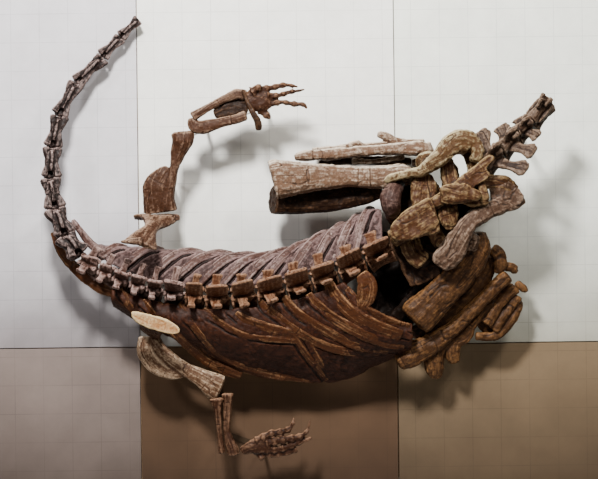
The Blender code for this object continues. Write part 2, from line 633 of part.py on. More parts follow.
PELVIS = {
    "sacrum": [
        [(30.5, -0.5, 26, 3.0, 3.2), (37.5, 4, 26, 3.3, 3.4), (45.5, 10, 27, 3.3, 3.4),
         (54.5, 16.5, 27, 3.2, 3.2), (60, 21.5, 27, 2.7, 3)],
        [(31, 1.5, 34, 2.6, 1.3), (34.5, 3.2, 34.5, 4.4, 1.4), (39, 5.6, 34.5, 5.2, 1.4),
         (42.5, 7.4, 34.5, 4.9, 1.3), (44.5, 8.5, 34.5, 3.4, 1.2)],
        [(31, 0.5, 30, 2, 3.2), (37, 5.5, 30, 2, 3.6), (45, 11.5, 30, 2, 3.6), (55, 18, 30, 2, 3.6),
         (59.5, 21.5, 30, 1.6, 3)],
        [(46.5, 14, 34.5, 2.0, 1.3), (49.5, 14.6, 34.5, 3.1, 1.4), (54, 14.5, 34.5, 3.2, 1.3),
         (59.5, 13.5, 34, 1.3, 1.1)],
        [(51, 15.5, 33, 1.8, 1.6), (55, 19, 33, 2.0, 1.6), (59.5, 22.5, 33, 1.5, 1.4)],
        [(40.5, 8, 27, 2.7, 1.6), (41.5, 15, 27, 4.3, 1.4), (41.5, 19, 27, 4.0, 1.2),
         (41.5, 21.5, 27, 2.7, 1.2)],
        [(52, 15, 27, 2.3, 1.6), (50, 20.5, 27, 2.7, 1.3), (49.5, 26, 27, 2.0, 1.3)],
        [(36, 2.5, 26, 3.0, 2), (38, -4.5, 26, 3.7, 1.6), (41.5, -8, 26, 2.7, 1.4)],
        [(43, 8, 26, 2.7, 2), (46, 0, 26, 2.7, 1.5), (49, -3.5, 26, 2.3, 1.3)],
        [(50, 13, 28, 1.8, 2), (49.5, 10, 29, 3.0, 2.2), (49.5, 7.5, 29, 3.3, 2.2),
         (49.5, 5, 29, 2.6, 2), (49.5, 3, 28, 1.0, 1.6)],
        [(57, 16.5, 27, 2.3, 1.8), (59.5, 10.5, 26, 2.3, 1.4), (61, 8, 26, 1.7, 1.3)],
        [(60, 18, 31, 1.2, 2), (61, 13, 32, 1.3, 1.3), (61, 11, 31, 1.0, 1.1)],
        [(57.5, 18, 28, 1.8, 1.8), (62.5, 18.2, 28, 2.2, 1.5), (68, 17.6, 28, 2.5, 1.4),
         (72.3, 15.2, 27, 1.9, 1.2)],
        [(30.5, 8.5, 18, 4, 2), (36, 10.5, 18, 6, 2), (43, 12.5, 18, 6, 2), (48, 13.5, 18, 3.5, 1.8)],
        [(47, 6.5, 21.5, 4.5, 1.5), (54, 7.8, 21.5, 4.8, 1.5), (60, 10.5, 21.5, 1.8, 1.2)],
    ],
    "ilium_right": [
        [(29, 19, 25, 0.7, 1.6), (31, 20, 25.5, 1.3, 2.6), (37.5, 21.5, 26.5, 1.5, 3.6),
         (40.5, 22, 27, 1.8, 4), (43.5, 24, 27.5, 2.5, 4.4), (47, 26.5, 28.5, 3.0, 4.6),
         (50, 30, 29, 3.6, 4.6), (53, 31.5, 29.5, 4.1, 4.4), (56, 31.5, 29.5, 3.8, 4.2),
         (58, 30.5, 29.5, 2.8, 3.8), (59, 28, 30, 2.0, 3.4), (58, 25, 30, 1.6, 3.0)],
        [(44.5, 26, 26, 2.3, 4), (43, 26, 22, 2.7, 3.5), (42.5, 25, 18, 2.4, 2.8)],
        [(45, 24, 25.5, 1.6, 1.2), (51, 27, 25.5, 3, 1.3), (57, 28.5, 25.5, 4.2, 1.3),
         (58.5, 24.5, 25.5, 2, 1.2)],
    ],
    "ilium_left": [
        [(75, 12, 25, 1.0, 1.6), (72.5, 12, 26, 2.7, 2.4), (68, 11, 27, 3.0, 2.8),
         (63, 9, 28, 3.0, 3.0), (59, 7, 28.5, 3.0, 3.2), (55.5, 4, 29, 3.1, 3.4),
         (53, 0, 29, 3.6, 3.4), (51, -4, 28.5, 4.3, 3.2), (48, -7.5, 28, 4.1, 2.8),
         (46.5, -9.5, 27.5, 2.7, 2.2)],
        [(55.5, -1, 27, 3.0, 3.5), (58.5, -2, 22, 3.0, 3), (59.5, -3, 19, 2.4, 2.4)],
        [(31.5, -2, 20, 3, 1.8), (37, -6, 20, 8, 2), (43, -5.5, 20, 9, 2), (49.5, -5, 20, 5, 1.8)],
    ],
    "pubis": [
        [(46.5, -11.5, 19, 2.4, 2), (42, -16, 17, 2.2, 1.8), (37, -22, 14, 2.0, 1.6),
         (33, -27, 11, 2.4, 1.8)],
        [(34, 2, 8, 7, 1.0), (33, -6, 8, 9, 1.0), (32.5, -16, 8, 9, 1.0), (32, -26, 8, 8.5, 1.0),
         (31, -33, 8.5, 6, 1.0)],
        [(41, -17, 15, 2.0, 1.4), (38.5, -19, 8.5, 2.4, 1.2)],
    ],
}
RIGHT_HIND = {
    "femur_right": [
        [(-8.6, 20.2, 20, 6.4, 4), (-7.4, 20.4, 20, 6.9, 4.8), (-3, 20.5, 20, 6.1, 4.4),
         (5.5, 21, 19, 4.7, 3.6), (17, 21, 18.5, 3.7, 3), (28, 20.5, 19, 4.0, 3.2),
         (35, 21, 20, 4.0, 3.6), (38.5, 21.5, 20, 2.4, 2.6)],
        [(-8.8, 13.6, 17, 4.8, 3.6), (-5, 13.2, 15, 4.8, 3.6), (0.5, 13.2, 13, 4.6, 3.4),
         (9, 13.6, 12.5, 4.4, 3.2), (16.5, 14.2, 12.5, 4.2, 3), (23, 15.4, 13.5, 3.6, 2.6),
         (28.5, 16.5, 15, 2.6, 2.2)],
        [(33.5, 18, 22, 2.3, 2.6), (31.5, 15.5, 26, 3.0, 3), (30.5, 12.5, 28, 3.6, 3.4),
         (31, 10, 27, 3.2, 3), (32, 8.5, 25, 2.0, 2.2)],
        [(31, 9, 23, 2.3, 2), (31, 6.5, 22, 1.8, 1.6)],
    ],
    "tibia_right": [
        [(-1, 28, 12, 1.0, 2), (1.5, 28.5, 12.5, 1.7, 2.6), (11, 29, 13, 2.0, 2.4),
         (24.5, 30, 13, 1.8, 2.2), (35, 30.5, 13, 2.1, 2.4), (41, 30.5, 13, 2.9, 3),
         (45, 29.5, 12.5, 2.2, 2.4)],
    ],
    "fibula_right": [
        [(18.5, 26.5, 10, 1.2, 1.5), (24, 26.5, 10, 1.0, 1.2), (31, 27, 10, 1.0, 1.2),
         (36.5, 28, 10, 1.1, 1.4)],
    ],
    "foot_right": [
        [(5, 31, 6, 0.7, 1.2), (16.5, 31.5, 7, 1.2, 1.6), (28.5, 32, 7.5, 1.4, 1.8),
         (38, 32.5, 8, 1.7, 2), (43.5, 32.5, 8, 1.7, 2)],
        [(44, 32.5, 8, 1.7, 2.2), (45.5, 29, 8, 1.7, 2.2), (43.5, 26.5, 8.5, 2.1, 2.2),
         (39, 26, 8.5, 1.4, 1.6)],
        [(27.5, 36, 8, 1.1, 1.4), (30.5, 35, 8, 1.5, 1.6), (34, 33.5, 8, 1.4, 1.4),
         (36.5, 33, 8, 1.4, 1.4)],
        [(17.5, 32, 8, 1.0, 1.2), (20.5, 33, 8, 0.8, 1), (22, 32.5, 8, 0.6, 0.8)],
    ],
}
LEFT_HIND = {
    "femur_left": [
        [(38.2, -28, 18.5, 5.2, 3), (39.6, -26.6, 18.5, 6.4, 3.8), (44, -22.5, 19, 5.9, 3.6),
         (49, -17.3, 20, 5.5, 3.4), (53.5, -12.3, 21, 5.5, 3.4), (57.5, -7, 22, 5.4, 3.6),
         (60, -2.5, 22.5, 4.4, 3.4), (60, 1.8, 22.5, 2.3, 2.6)],
    ],
    "tibia_left": [
        [(33.2, -42.5, 15, 2.8, 2.2), (37.3, -40, 14.5, 4.3, 3), (43.6, -36.7, 14, 3.9, 3),
         (51, -32, 14, 2.8, 2.6), (58.4, -25, 14.5, 2.5, 2.4), (65.8, -17.7, 15, 2.4, 2.4),
         (70.9, -12.9, 15.5, 2.4, 2.6)],
    ],
    "fibula_left": [
        [(42.1, -32, 12, 2.8, 1.8), (50.2, -25.6, 12, 3.5, 2), (57, -19.7, 12.5, 3.5, 2),
         (62.7, -12.9, 13, 3.4, 2), (65.2, -6.6, 14, 2.6, 1.8)],
    ],
    "foot_left": [
        [(58.7, -30.5, 12, 1.7, 1.6), (62.1, -26, 12, 1.6, 1.4), (67.3, -19.8, 12, 1.6, 1.4),
         (71.7, -15.6, 12, 1.9, 1.7)],
        [(63.7, -30, 12.5, 2, 1.8), (68.4, -22.6, 12.5, 1.8, 1.5), (73.6, -17, 12.5, 2.3, 1.8)],
        [(66.1, -31.8, 11.5, 1.9, 1.6), (70.8, -25.6, 11.5, 1.7, 1.4), (74.5, -20.2, 11.5, 2.2, 1.7)],
        [(60.2, -33.9, 10.5, 1.5, 1.4), (66.2, -34, 10.5, 1.6, 1.5), (70.3, -31.3, 10.5, 1.7, 1.5),
         (73.7, -26.2, 10.5, 1.8, 1.5), (75.2, -21.9, 10.5, 1.6, 1.4)],
        [(74.3, -15.6, 11.5, 1, 1), (76.3, -17.4, 11.5, 1.3, 1.2), (78, -18.9, 11.5, 0.8, 0.8)],
        [(65.3, -3.8, 16, 2.1, 2), (67.5, -6.1, 16.5, 2.5, 2.2), (68.1, -9.2, 16, 2.3, 2),
         (67.3, -12, 15, 1.7, 1.8)],
        [(69.3, -9.8, 15, 1.5, 1.6), (72.8, -10.8, 14.5, 1.5, 1.5), (73.4, -12.4, 14, 1, 1.2)],
        [(58.1, -29.9, 12, 2.1, 1.6), (56.1, -33.9, 12, 2.5, 1.8), (51.2, -35.8, 12, 2.5, 1.8),
         (47.8, -35.5, 12, 2.8, 1.9)],
        [(47.8, -35.2, 12, 3, 1.9), (45.7, -40, 12, 3.5, 2.2), (46, -45.2, 11.5, 3.2, 2.2),
         (46.9, -48.1, 11, 1.7, 1.4)],
        [(52.9, -35, 12, 2.3, 1.6), (52, -39.6, 12, 2.6, 1.8), (52.9, -43, 11.5, 1.8, 1.4)],
    ],
}


def make_bones(group, material, sides=8):
    made = []
    for name, strokes in group.items():
        pieces = [stroke(stations, sides) for stations in strokes]
        stations = sum(len(line) for line in strokes)
        made.append(fuse(name, pieces, material, FACES_BASE + FACES_PER_STATION * stations, 0.003))
    return made


# ---------------------------------------------------------------- armature
# One welded run of flat steel lies on the boards behind the bones, with a round rod up to each.
STRAP_HALF = 1.1
STRAP_RISE = 0.22
STRAP_STEP = 0.02            # each strap is a touch thicker than the last: no two faces lie level
ROD_HALF = 0.55
ROD_GAP = 0.0012            # metres, left between a rod's end and its bone
# A point is across, up and off for the bone there; the last value is 1 where a rod stands.
STRAP_ROUTES = [
    [(-61, 71, 4.5, 1), (-76, 55, 7, 1), (-81.5, 43.5, 10, 0), (-83.5, 32.5, 13, 1), (-82, 11.5, 18, 1),
     (-73, -5, 20, 0), (-62, -10, 21, 1)],
    [(-62, -10, 21, 0), (-45, -15, 21, 0), (-24, -17, 21, 1), (-5, -14, 21, 0), (12, -8, 21, 1),
     (45, 11, 25, 1), (61, 23, 24, 0), (74, 35, 23, 1)],
    [(-47, -15, 21, 0), (-48, 9, 14, 0), (-43, 21, 14.5, 1), (-39, 35, 16, 0), (-31, 39, 16.5, 1),
     (-11, 46, 17, 1)],
    [(-47, -15, 21, 0), (-51, -30, 16, 0), (-48, -37, 13, 1), (-28, -49, 14, 0), (-25, -66, 14.5, 1),
     (-13, -70.5, 14, 1)],
    [(29, 2, 21, 0), (30, 20, 18, 1), (5, 20, 18, 1)],
    [(28, 18, 18, 0), (30, 30, 12.5, 1)],
    [(43, 10, 24, 0), (52, -12, 20, 1), (52, -30, 14, 1), (68, -25, 11, 1)],
    [(53, -29, 13, 0), (47, -43, 11.5, 1)],
    [(-6, -13, 21, 0), (-2, -38, 18, 1)],
    [(-25, -18, 21, 0), (-28, -8, 15, 1)],
]


def behind(across, up, off):
    """Where a sight line through a bone meets the boards."""
    spread = VIEWING_DISTANCE / (VIEWING_DISTANCE - off)
    return across * spread, up * spread


def clear_length(ring, heading, bones):
    """How far a rod can run before it would touch a bone."""
    free = heading.length
    ahead = heading.normalized()
    for bone in bones:
        for corner in ring:
            struck, place, _, _ = bone.ray_cast(corner, ahead)
            if struck:
                free = min(free, (place - corner).length - ROD_GAP)
    return free


def make_armature(bones):
    pieces = []
    for count, route in enumerate(STRAP_ROUTES):
        rise = STRAP_RISE + STRAP_STEP * count
        stations = []
        for across, up, off, _ in route:
            place = behind(across, up, off)
            stations.append((*place, FIT_GAP / CM + rise, STRAP_HALF - STRAP_STEP * count, rise))
        pieces.append(stroke(stations, 4, True))
    for route in STRAP_ROUTES:
        for across, up, off, stands in route:
            if not stands:
                continue
            foot = on_panel(*behind(across, up, off), 0.15)
            heading = on_panel(across, up, off) - foot
            ring = [foot]
            for step in range(12):
                angle = step * math.tau / 12
                ring.append(foot + Vector((math.cos(angle), 0, math.sin(angle))) * ROD_HALF * 1.1 * CM)
            centres = [foot, foot + heading.normalized() * clear_length(ring, heading, bones)]
            sizes = [ROD_HALF * CM] * 2
            pieces.append(loft(centres, sizes, sizes, [Vector((1, 0, 0))] * 2, 6))
    return weld("armature", pieces, STEEL_DARK)


# ---------------------------------------------------------------- wall panel
COLUMN_EDGES = (-PANEL_WIDTH / 2, -0.56, 0.34, PANEL_WIDTH / 2)
ROW_EDGES = (-PANEL_HEIGHT / 2, -0.37, PANEL_HEIGHT / 2)
BOARD_BEVEL = 0.0015
BACKING_INSET = 0.06


def box(low, high):
    mesh = bmesh.new()
    middle = (Vector(low) + Vector(high)) / 2
    size = Vector(high) - Vector(low)
    place = Matrix.Translation(middle) @ Matrix.Diagonal((*size, 1))
    bmesh.ops.create_cube(mesh, size=1, matrix=place)
    return mesh


def ease_edges(board):
    edge = board.modifiers.new("eased edges", "BEVEL")
    edge.width = BOARD_BEVEL
    edge.segments = 1


def make_boards():
    names = ("left", "middle", "right")
    rows = ("lower", "upper")
    inset = BOARD_JOINT / 2
    back = -BACKING_THICKNESS - FIT_GAP
    for column, side in enumerate(names):
        for row, level in enumerate(rows):
            low = (COLUMN_EDGES[column] + inset, BOARD_FACE, ROW_EDGES[row] + inset)
            high = (COLUMN_EDGES[column + 1] - inset, back, ROW_EDGES[row + 1] - inset)
            board = to_object(box(low, high), "board_%s_%s" % (side, level), BOARD_PALE)
            ease_edges(board)


def make_backing():
    """The one flat sheet that the boards are screwed to and that hangs on the wall."""
    half_width = PANEL_WIDTH / 2 - BACKING_INSET
    half_height = PANEL_HEIGHT / 2 - BACKING_INSET
    low = (-half_width, -BACKING_THICKNESS, -half_height)
    sheet_body = to_object(box(low, (half_width, 0, half_height)), "backing_sheet", BACKING_WOOD)
    ease_edges(sheet_body)


# ---------------------------------------------------------------- the whole mount
neck = make_neck()
trunk = make_trunk()
pelvis = make_bones(PELVIS, BONE_BROWN)
tail = make_tail()
cages = [make_left_cage(), make_right_cage()]
fore = make_bones(RIGHT_FORE, BONE_BROWN) + make_bones(LEFT_FORE, BONE_PALE)
hind = make_bones(RIGHT_HIND, BONE_PALE) + make_bones(LEFT_HIND, BONE_BROWN)
make_boards()
make_backing()

settled = []
for bone in trunk + neck + pelvis + tail + fore + hind + cages:
    part_off(bone, settled)
    bone.data.shade_smooth()
    bone.data.set_sharp_from_angle(angle=SHARP_EDGE)
    settled.append(bone)
make_armature(settled)
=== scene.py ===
import itertools
import math

import bmesh
import bpy
import numpy as np
from mathutils import Matrix, Vector


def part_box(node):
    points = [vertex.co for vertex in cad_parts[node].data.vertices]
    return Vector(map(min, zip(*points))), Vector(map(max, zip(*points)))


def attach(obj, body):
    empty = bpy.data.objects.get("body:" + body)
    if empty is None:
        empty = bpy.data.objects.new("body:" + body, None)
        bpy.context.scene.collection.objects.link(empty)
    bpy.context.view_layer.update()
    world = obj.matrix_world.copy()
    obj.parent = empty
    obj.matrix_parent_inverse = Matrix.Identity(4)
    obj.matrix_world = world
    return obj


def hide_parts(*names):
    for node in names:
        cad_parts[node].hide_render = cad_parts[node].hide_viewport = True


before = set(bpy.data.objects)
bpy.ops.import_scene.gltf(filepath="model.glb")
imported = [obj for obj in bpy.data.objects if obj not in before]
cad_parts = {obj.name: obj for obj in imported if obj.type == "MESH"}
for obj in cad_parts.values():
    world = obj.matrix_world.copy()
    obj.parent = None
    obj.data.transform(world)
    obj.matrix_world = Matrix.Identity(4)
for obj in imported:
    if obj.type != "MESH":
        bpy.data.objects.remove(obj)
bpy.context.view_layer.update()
bpy.ops.object.select_all(action="DESELECT")

# ------------------------------------------------------------------------------ the six boards
# The wall behind the skeleton: six painted boards fixed side by side to one sheet, with open
# joints, ruled in faint squares for drawing the find. Their tones darken and warm toward the
# foot, most of all in the lower row: painted shade.
SQUARE = 0.10               # the ruled squares
RULE_WIDTH = 0.0016
RULE_SHADE = (0.42, 0.42, 0.44)
UPPER_LEVELS = (-0.41, 0.20)    # the heights between which a board goes from foot to head tone
LOWER_LEVELS = (-0.85, -0.30)


def add(tree, kind, inputs=(), **settings):
    """A node. inputs maps a socket to a value or to another node's socket."""
    node = tree.nodes.new("ShaderNode" + kind)
    for name, value in settings.items():
        setattr(node, name, value)
    for socket, value in dict(inputs).items():
        if isinstance(value, bpy.types.NodeSocket):
            tree.links.new(value, node.inputs[socket])
        else:
            node.inputs[socket].default_value = value
    return node


def calculate(tree, operation, first, second=0.0, clamp=False):
    sockets = {0: first, 1: second}
    return add(tree, "Math", sockets, operation=operation, use_clamp=clamp).outputs[0]


def times(tree, first, second):
    return calculate(tree, "MULTIPLY", first, second)


def total(tree, first, *others, clamp=False):
    for other in others[:-1]:
        first = calculate(tree, "ADD", first, other)
    return calculate(tree, "ADD", first, others[-1], clamp)


def fade(tree, value, low, high, start=0.0, end=1.0):
    """Carries a value from one range to another and stops at its ends."""
    sockets = {"Value": value, "From Min": low, "From Max": high, "To Min": start, "To Max": end}
    return add(tree, "MapRange", sockets).outputs["Result"]


def opaque(colour):
    return (*colour, 1) if isinstance(colour, tuple) else colour


def blend(tree, share, first, second, kind="MIX"):
    sockets = {0: share, 6: opaque(first), 7: opaque(second)}
    return add(tree, "Mix", sockets, data_type="RGBA", blend_type=kind).outputs[2]


def shade(tree, colour, value):
    """A colour made darker or lighter by a value."""
    grey = add(tree, "CombineColor", {0: value, 1: value, 2: value}).outputs[0]
    return blend(tree, 1.0, colour, grey, "MULTIPLY")


def noise(tree, coordinates, scale, detail=3.0, roughness=0.6, distortion=0.0):
    sockets = {"Vector": coordinates, "Scale": scale, "Detail": detail, "Roughness": roughness,
               "Distortion": distortion}
    return add(tree, "TexNoise", sockets).outputs["Fac"]


def stretch(tree, coordinates, scales):
    return add(tree, "Mapping", {"Vector": coordinates, "Scale": scales}).outputs[0]


def new_material(name, roughness, **fixed):
    """A material with its Principled shader; fixed sets the sockets that stay the same all over."""
    material = bpy.data.materials.new(name)
    material.use_nodes = True
    shader = material.node_tree.nodes["Principled BSDF"]
    shader.inputs["Roughness"].default_value = roughness
    for socket, value in fixed.items():
        shader.inputs[socket.replace("_", " ")].default_value = value
    return material, material.node_tree, shader


def raise_bump(tree, shader, height, distance, strength=1.0):
    bump = add(tree, "Bump", {"Height": height, "Distance": distance, "Strength": strength})
    tree.links.new(bump.outputs["Normal"], shader.inputs["Normal"])


def open_group(name, inputs, outputs):
    """A node group that materials share; gives its tree and the sockets inside it."""
    tree = bpy.data.node_groups.new(name, "ShaderNodeTree")
    for socket, value in inputs.items():
        kind = "NodeSocketColor" if isinstance(value, tuple) else "NodeSocketFloat"
        tree.interface.new_socket(socket, in_out="INPUT", socket_type=kind).default_value = value
    for socket in outputs:
        kind = "NodeSocketColor" if socket == "Color" else "NodeSocketFloat"
        tree.interface.new_socket(socket, in_out="OUTPUT", socket_type=kind)
    return tree, tree.nodes.new("NodeGroupInput").outputs


def close_group(tree, **results):
    out = tree.nodes.new("NodeGroupOutput")
    for socket, value in results.items():
        tree.links.new(value, out.inputs[socket])
    return tree


def place_group(tree, shader, group, values, bump, strength):
    """Puts a shared group in a material, with this material's own values."""
    own = {socket: opaque(value) for socket, value in values.items()}
    surface = add(tree, "Group", own, node_tree=group).outputs
    tree.links.new(surface["Color"], shader.inputs["Base Color"])
    if "Roughness" in surface:
        tree.links.new(surface["Roughness"], shader.inputs["Roughness"])
    raise_bump(tree, shader, surface["Height"], bump, strength)


def board_paint_and_shade():
    """Rolled matt paint, ruled in squares, with painted shade from a foot tone up to a head tone.
    """
    tree, given = open_group("board_paint_and_shade", {
        "Foot": (0.3, 0.3, 0.3, 1), "Head": (0.7, 0.7, 0.7, 1),
        "Foot Level": -0.4, "Head Level": 0.2,
    }, ("Color", "Height"))
    place = add(tree, "TexCoord").outputs["Object"]
    split = add(tree, "SeparateXYZ", {0: place}).outputs
    cloud = times(tree, noise(tree, place, 2.2, 3), 0.25)
    level = fade(tree, total(tree, split["Z"], cloud), given["Foot Level"], given["Head Level"])
    paint = blend(tree, level, given["Foot"], given["Head"])
    scuffs = fade(tree, noise(tree, place, 9, 6, 0.7), 0.35, 0.75, 0.90, 1.04)
    paint = shade(tree, paint, scuffs)
    rules = 0.0
    for axis in ("X", "Z"):
        ahead = total(tree, split[axis], SQUARE * 100)
        within = calculate(tree, "PINGPONG", ahead, SQUARE / 2)
        line = fade(tree, within, RULE_WIDTH / 2, RULE_WIDTH, 1.0, 0.0)
        rules = calculate(tree, "MAXIMUM", rules, line)
    faint = times(tree, rules, fade(tree, noise(tree, place, 5, 2), 0.3, 0.7, 0.10, 0.42))
    paint = blend(tree, faint, paint, blend(tree, 1.0, paint, RULE_SHADE, "MULTIPLY"))
    return close_group(tree, Color=paint, Height=noise(tree, place, 420, 4, 0.7))


BOARD_PAINT_AND_SHADE = board_paint_and_shade()


def give_finish(piece, material):
    piece.data.materials.clear()
    piece.data.materials.append(material)


def paint_board(board_name, foot, head, levels):
    material, tree, shader = new_material(f"{board_name}_paint", 0.8, Specular_IOR_Level=0.25)
    tones = {"Foot": foot, "Head": head, "Foot Level": levels[0], "Head Level": levels[1]}
    place_group(tree, shader, BOARD_PAINT_AND_SHADE, tones, 0.0006, 0.5)
    give_finish(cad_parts[board_name], material)


# The tones are painted shade: each board darkens toward its foot as the light falls off, and the
# lower row is far darker, the middle board most, for the skeleton's shadow below the belly.
paint_board("board_left_upper", (0.125, 0.097, 0.095), (0.545, 0.525, 0.55), UPPER_LEVELS)
paint_board("board_middle_upper", (0.24, 0.218, 0.20), (0.765, 0.755, 0.715), UPPER_LEVELS)
paint_board("board_right_upper", (0.17, 0.145, 0.095), (0.745, 0.76, 0.70), UPPER_LEVELS)
paint_board("board_left_lower", (0.040, 0.027, 0.021), (0.19, 0.148, 0.132), LOWER_LEVELS)
paint_board("board_middle_lower", (0.0235, 0.0107, 0.0052), (0.105, 0.058, 0.030), LOWER_LEVELS)
paint_board("board_right_lower", (0.033, 0.0185, 0.0095), (0.160, 0.110, 0.064), LOWER_LEVELS)

# --------------------------------------------------------------------------- the backing sheet
# One thick laminated sheet that carries the boards and lies flat against the wall. It is raw
# wood, with its veneers showing at the edges.
VENEER = 0.0043             # how thick each veneer is
VENEER_TURN = (0.0016, 0.0026)      # where its light half turns to the dark one


def sheet_wood():
    material, tree, shader = new_material("laminated_sheet", 0.7)
    place = add(tree, "TexCoord").outputs["Object"]
    split = add(tree, "SeparateXYZ", {0: place}).outputs
    figure = noise(tree, stretch(tree, place, (1.0, 6.0, 22.0)), 5, 6, 0.65, 0.6)
    pores = noise(tree, stretch(tree, place, (12.0, 90.0, 260.0)), 4, 2)
    wood = blend(tree, fade(tree, figure, 0.3, 0.7), (0.26, 0.15, 0.07), (0.52, 0.36, 0.20))
    wood = blend(tree, fade(tree, pores, 0.52, 0.75, 0.0, 0.55), wood, (0.12, 0.06, 0.03))
    within = calculate(tree, "PINGPONG", total(tree, split["Y"], 1.0), VENEER)
    facing = add(tree, "SeparateXYZ", {0: add(tree, "NewGeometry").outputs["Normal"]}).outputs["Y"]
    edge = fade(tree, calculate(tree, "ABSOLUTE", facing), 0.2, 0.6, 0.7, 0.0)
    plies = times(tree, fade(tree, within, *VENEER_TURN), edge)
    wood = blend(tree, plies, wood, (0.10, 0.05, 0.025))
    tree.links.new(wood, shader.inputs["Base Color"])
    raise_bump(tree, shader, total(tree, pores, figure), 0.0008, 0.5)
    return material


give_finish(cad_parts["backing_sheet"], sheet_wood())

# ------------------------------------------------------------------------------------- the neck
# Nine long, low neck vertebrae curl back over the shoulder, each a slim spool with lobes that
# clasp the next one and a low blade on top. Like all the bones they are turned to stone: dull,
# cracked along their grain and pale on their ridges, with painted highlight on the faces toward
# the light and painted shade darkening their hollows.
CM = 0.01
BOARD_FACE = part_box("board_middle_upper")[0].y
BACKWARD = Vector((0, 1, 0))
OUTWARD = Vector((0, -1, 0))
NECK_LINE = [
    (-54.5, 77, 5), (-61, 71, 5.5), (-67, 64, 6.5), (-76, 55, 8.5), (-81.5, 43.5, 11.5),
    (-83.5, 32.5, 14.5), (-84, 22, 17), (-82, 11.5, 19.5), (-78.5, 2.5, 22), (-73.5, -4, 23.5),
]
VERTEBRA_GAP = 0.12         # cm
NECK_COUNT = len(NECK_LINE) - 1
NECK_ROLL = math.radians(8)         # how far a vertebra's top is turned to the animal's right
TRUNK_ROLL = math.radians(27)
RING_STEP = 0.9             # cm between the rings of a bar
OVERSHOOT = 0.04            # how far a bar's sizes may go past those given
SIDES = 14                  # points in a ring
END_TAPER = 0.72            # a bar's last ring against the one before
SKIN_GRAIN = 0.0025       # metres between the points of a bone's skin
DUST_AND_LIGHT_SIDE = np.array((-0.38, 0.0, 0.92))               # up and toward the key light: where dust settles and highlight is painted
LUMPS = ((0.034, 0.0016), (0.013, 0.0009), (0.006, 0.0005))     # width and height, in metres
FURROWS = (14, 150, 150)    # to the metre: along the grain, across it and into the bone
SPLITS = (9, 42, 42)
BREAKS = (26, 9, 9)
FURROW_DEPTH = 0.0006
SPLIT_WIDTH = 0.07          # a crack's width as a share of the space between cracks
BREAK_WIDTH = 0.05
SPLIT_PATCH = 0.05          # metres across a patch that is cracked or sound
BREAK_PATCH = 0.07
CRACK_DEPTH = 0.0016
PIT_SPACING = 0.008
PIT_DEPTH = 0.0022
CLEFT_EDGE = 0.003          # how soon a cleft is deep, and how far its line wanders
CLEFT_BEND = 0.03           # metres from bend to bend
CLEFT_PATCH = 0.06
FINE_RELIEF = (3, 0.0012)   # rounds of smoothing, and the height in metres that counts as 1
BROAD_RELIEF = (14, 0.0035)
LEAST_REACH = 0.003
BAR_OFFSET = 0.37           # metres that each bar's grain is shifted, so that no two match
BATCH = 8000                # points weighed at a time, to spare memory
random_draw = np.random.default_rng(11)


def on_panel(across, up, off):
    """A point in centimetres: across and up the boards, and off their face."""
    return Vector((across * CM, BOARD_FACE - off * CM, up * CM))


def swing(before, here, there, after, t):
    """A point of the smooth curve from here to there."""
    return (here * 2 + (there - before) * t + (before * 2 - here * 5 + there * 4 - after) * t * t
            + (here * 3 - before - there * 3 + after) * t ** 3) / 2


def ease(rows):
    """More rows between those of a list, on a smooth curve through them."""
    rows = [np.array(row, float) for row in rows]
    eased = []
    for index in range(len(rows) - 1):
        here, there = rows[index], rows[index + 1]
        before = rows[index - 1] if index else here * 2 - there
        after = rows[index + 2] if index + 2 < len(rows) else there * 2 - here
        steps = max(2, round(np.linalg.norm((there - here)[:3]) / RING_STEP))
        for step in range(steps):
            row = swing(before, here, there, after, step / steps)
            low = np.minimum(here, there)[3:] * (1 - OVERSHOOT)
            high = np.maximum(here, there)[3:] * (1 + OVERSHOOT)
            row[3:] = np.clip(row[3:], low, high)
            eased.append(row)
    eased.append(rows[-1])
    return eased


class Bar:
    """A bar's rings of points, and the line through them that its grain follows."""

    def __init__(self, centres, widths, depths, wide, sides=SIDES, square=1.0, bevel=True):
        if bevel:
            for end, next_one, place in ((0, 1, 1), (-1, -2, len(centres) - 1)):
                span = centres[next_one] - centres[end]
                slope = min(0.3 * min(widths[end], depths[end]), 0.45 * span.length)
                centres.insert(place, centres[end] + span.normalized() * slope)
                wide.insert(place, wide[end])
                for sizes in (widths, depths):
                    sizes.insert(place, sizes[end])
                    sizes[end] *= END_TAPER
        self.centres = centres
        last = len(centres) - 1
        self.ahead, self.side, self.rise, self.rings = [], [], [], []
        self.reach = [math.sqrt(w * d) for w, d in zip(widths, depths)]
        for index, centre in enumerate(centres):
            ahead = (centres[min(index + 1, last)] - centres[max(index - 1, 0)]).normalized()
            side = wide[index] - ahead * wide[index].dot(ahead)
            side.normalize()
            rise = side.cross(ahead)
            ring = []
            for step in range(sides):
                angle = (step + 0.5) * math.tau / sides
                c, s = math.cos(angle), math.sin(angle)
                c = math.copysign(abs(c) ** square, c)
                s = math.copysign(abs(s) ** square, s)
                ring.append(centre + side * widths[index] * c + rise * depths[index] * s)
            self.ahead.append(ahead)
            self.side.append(side)
            self.rise.append(rise)
            self.rings.append(ring)


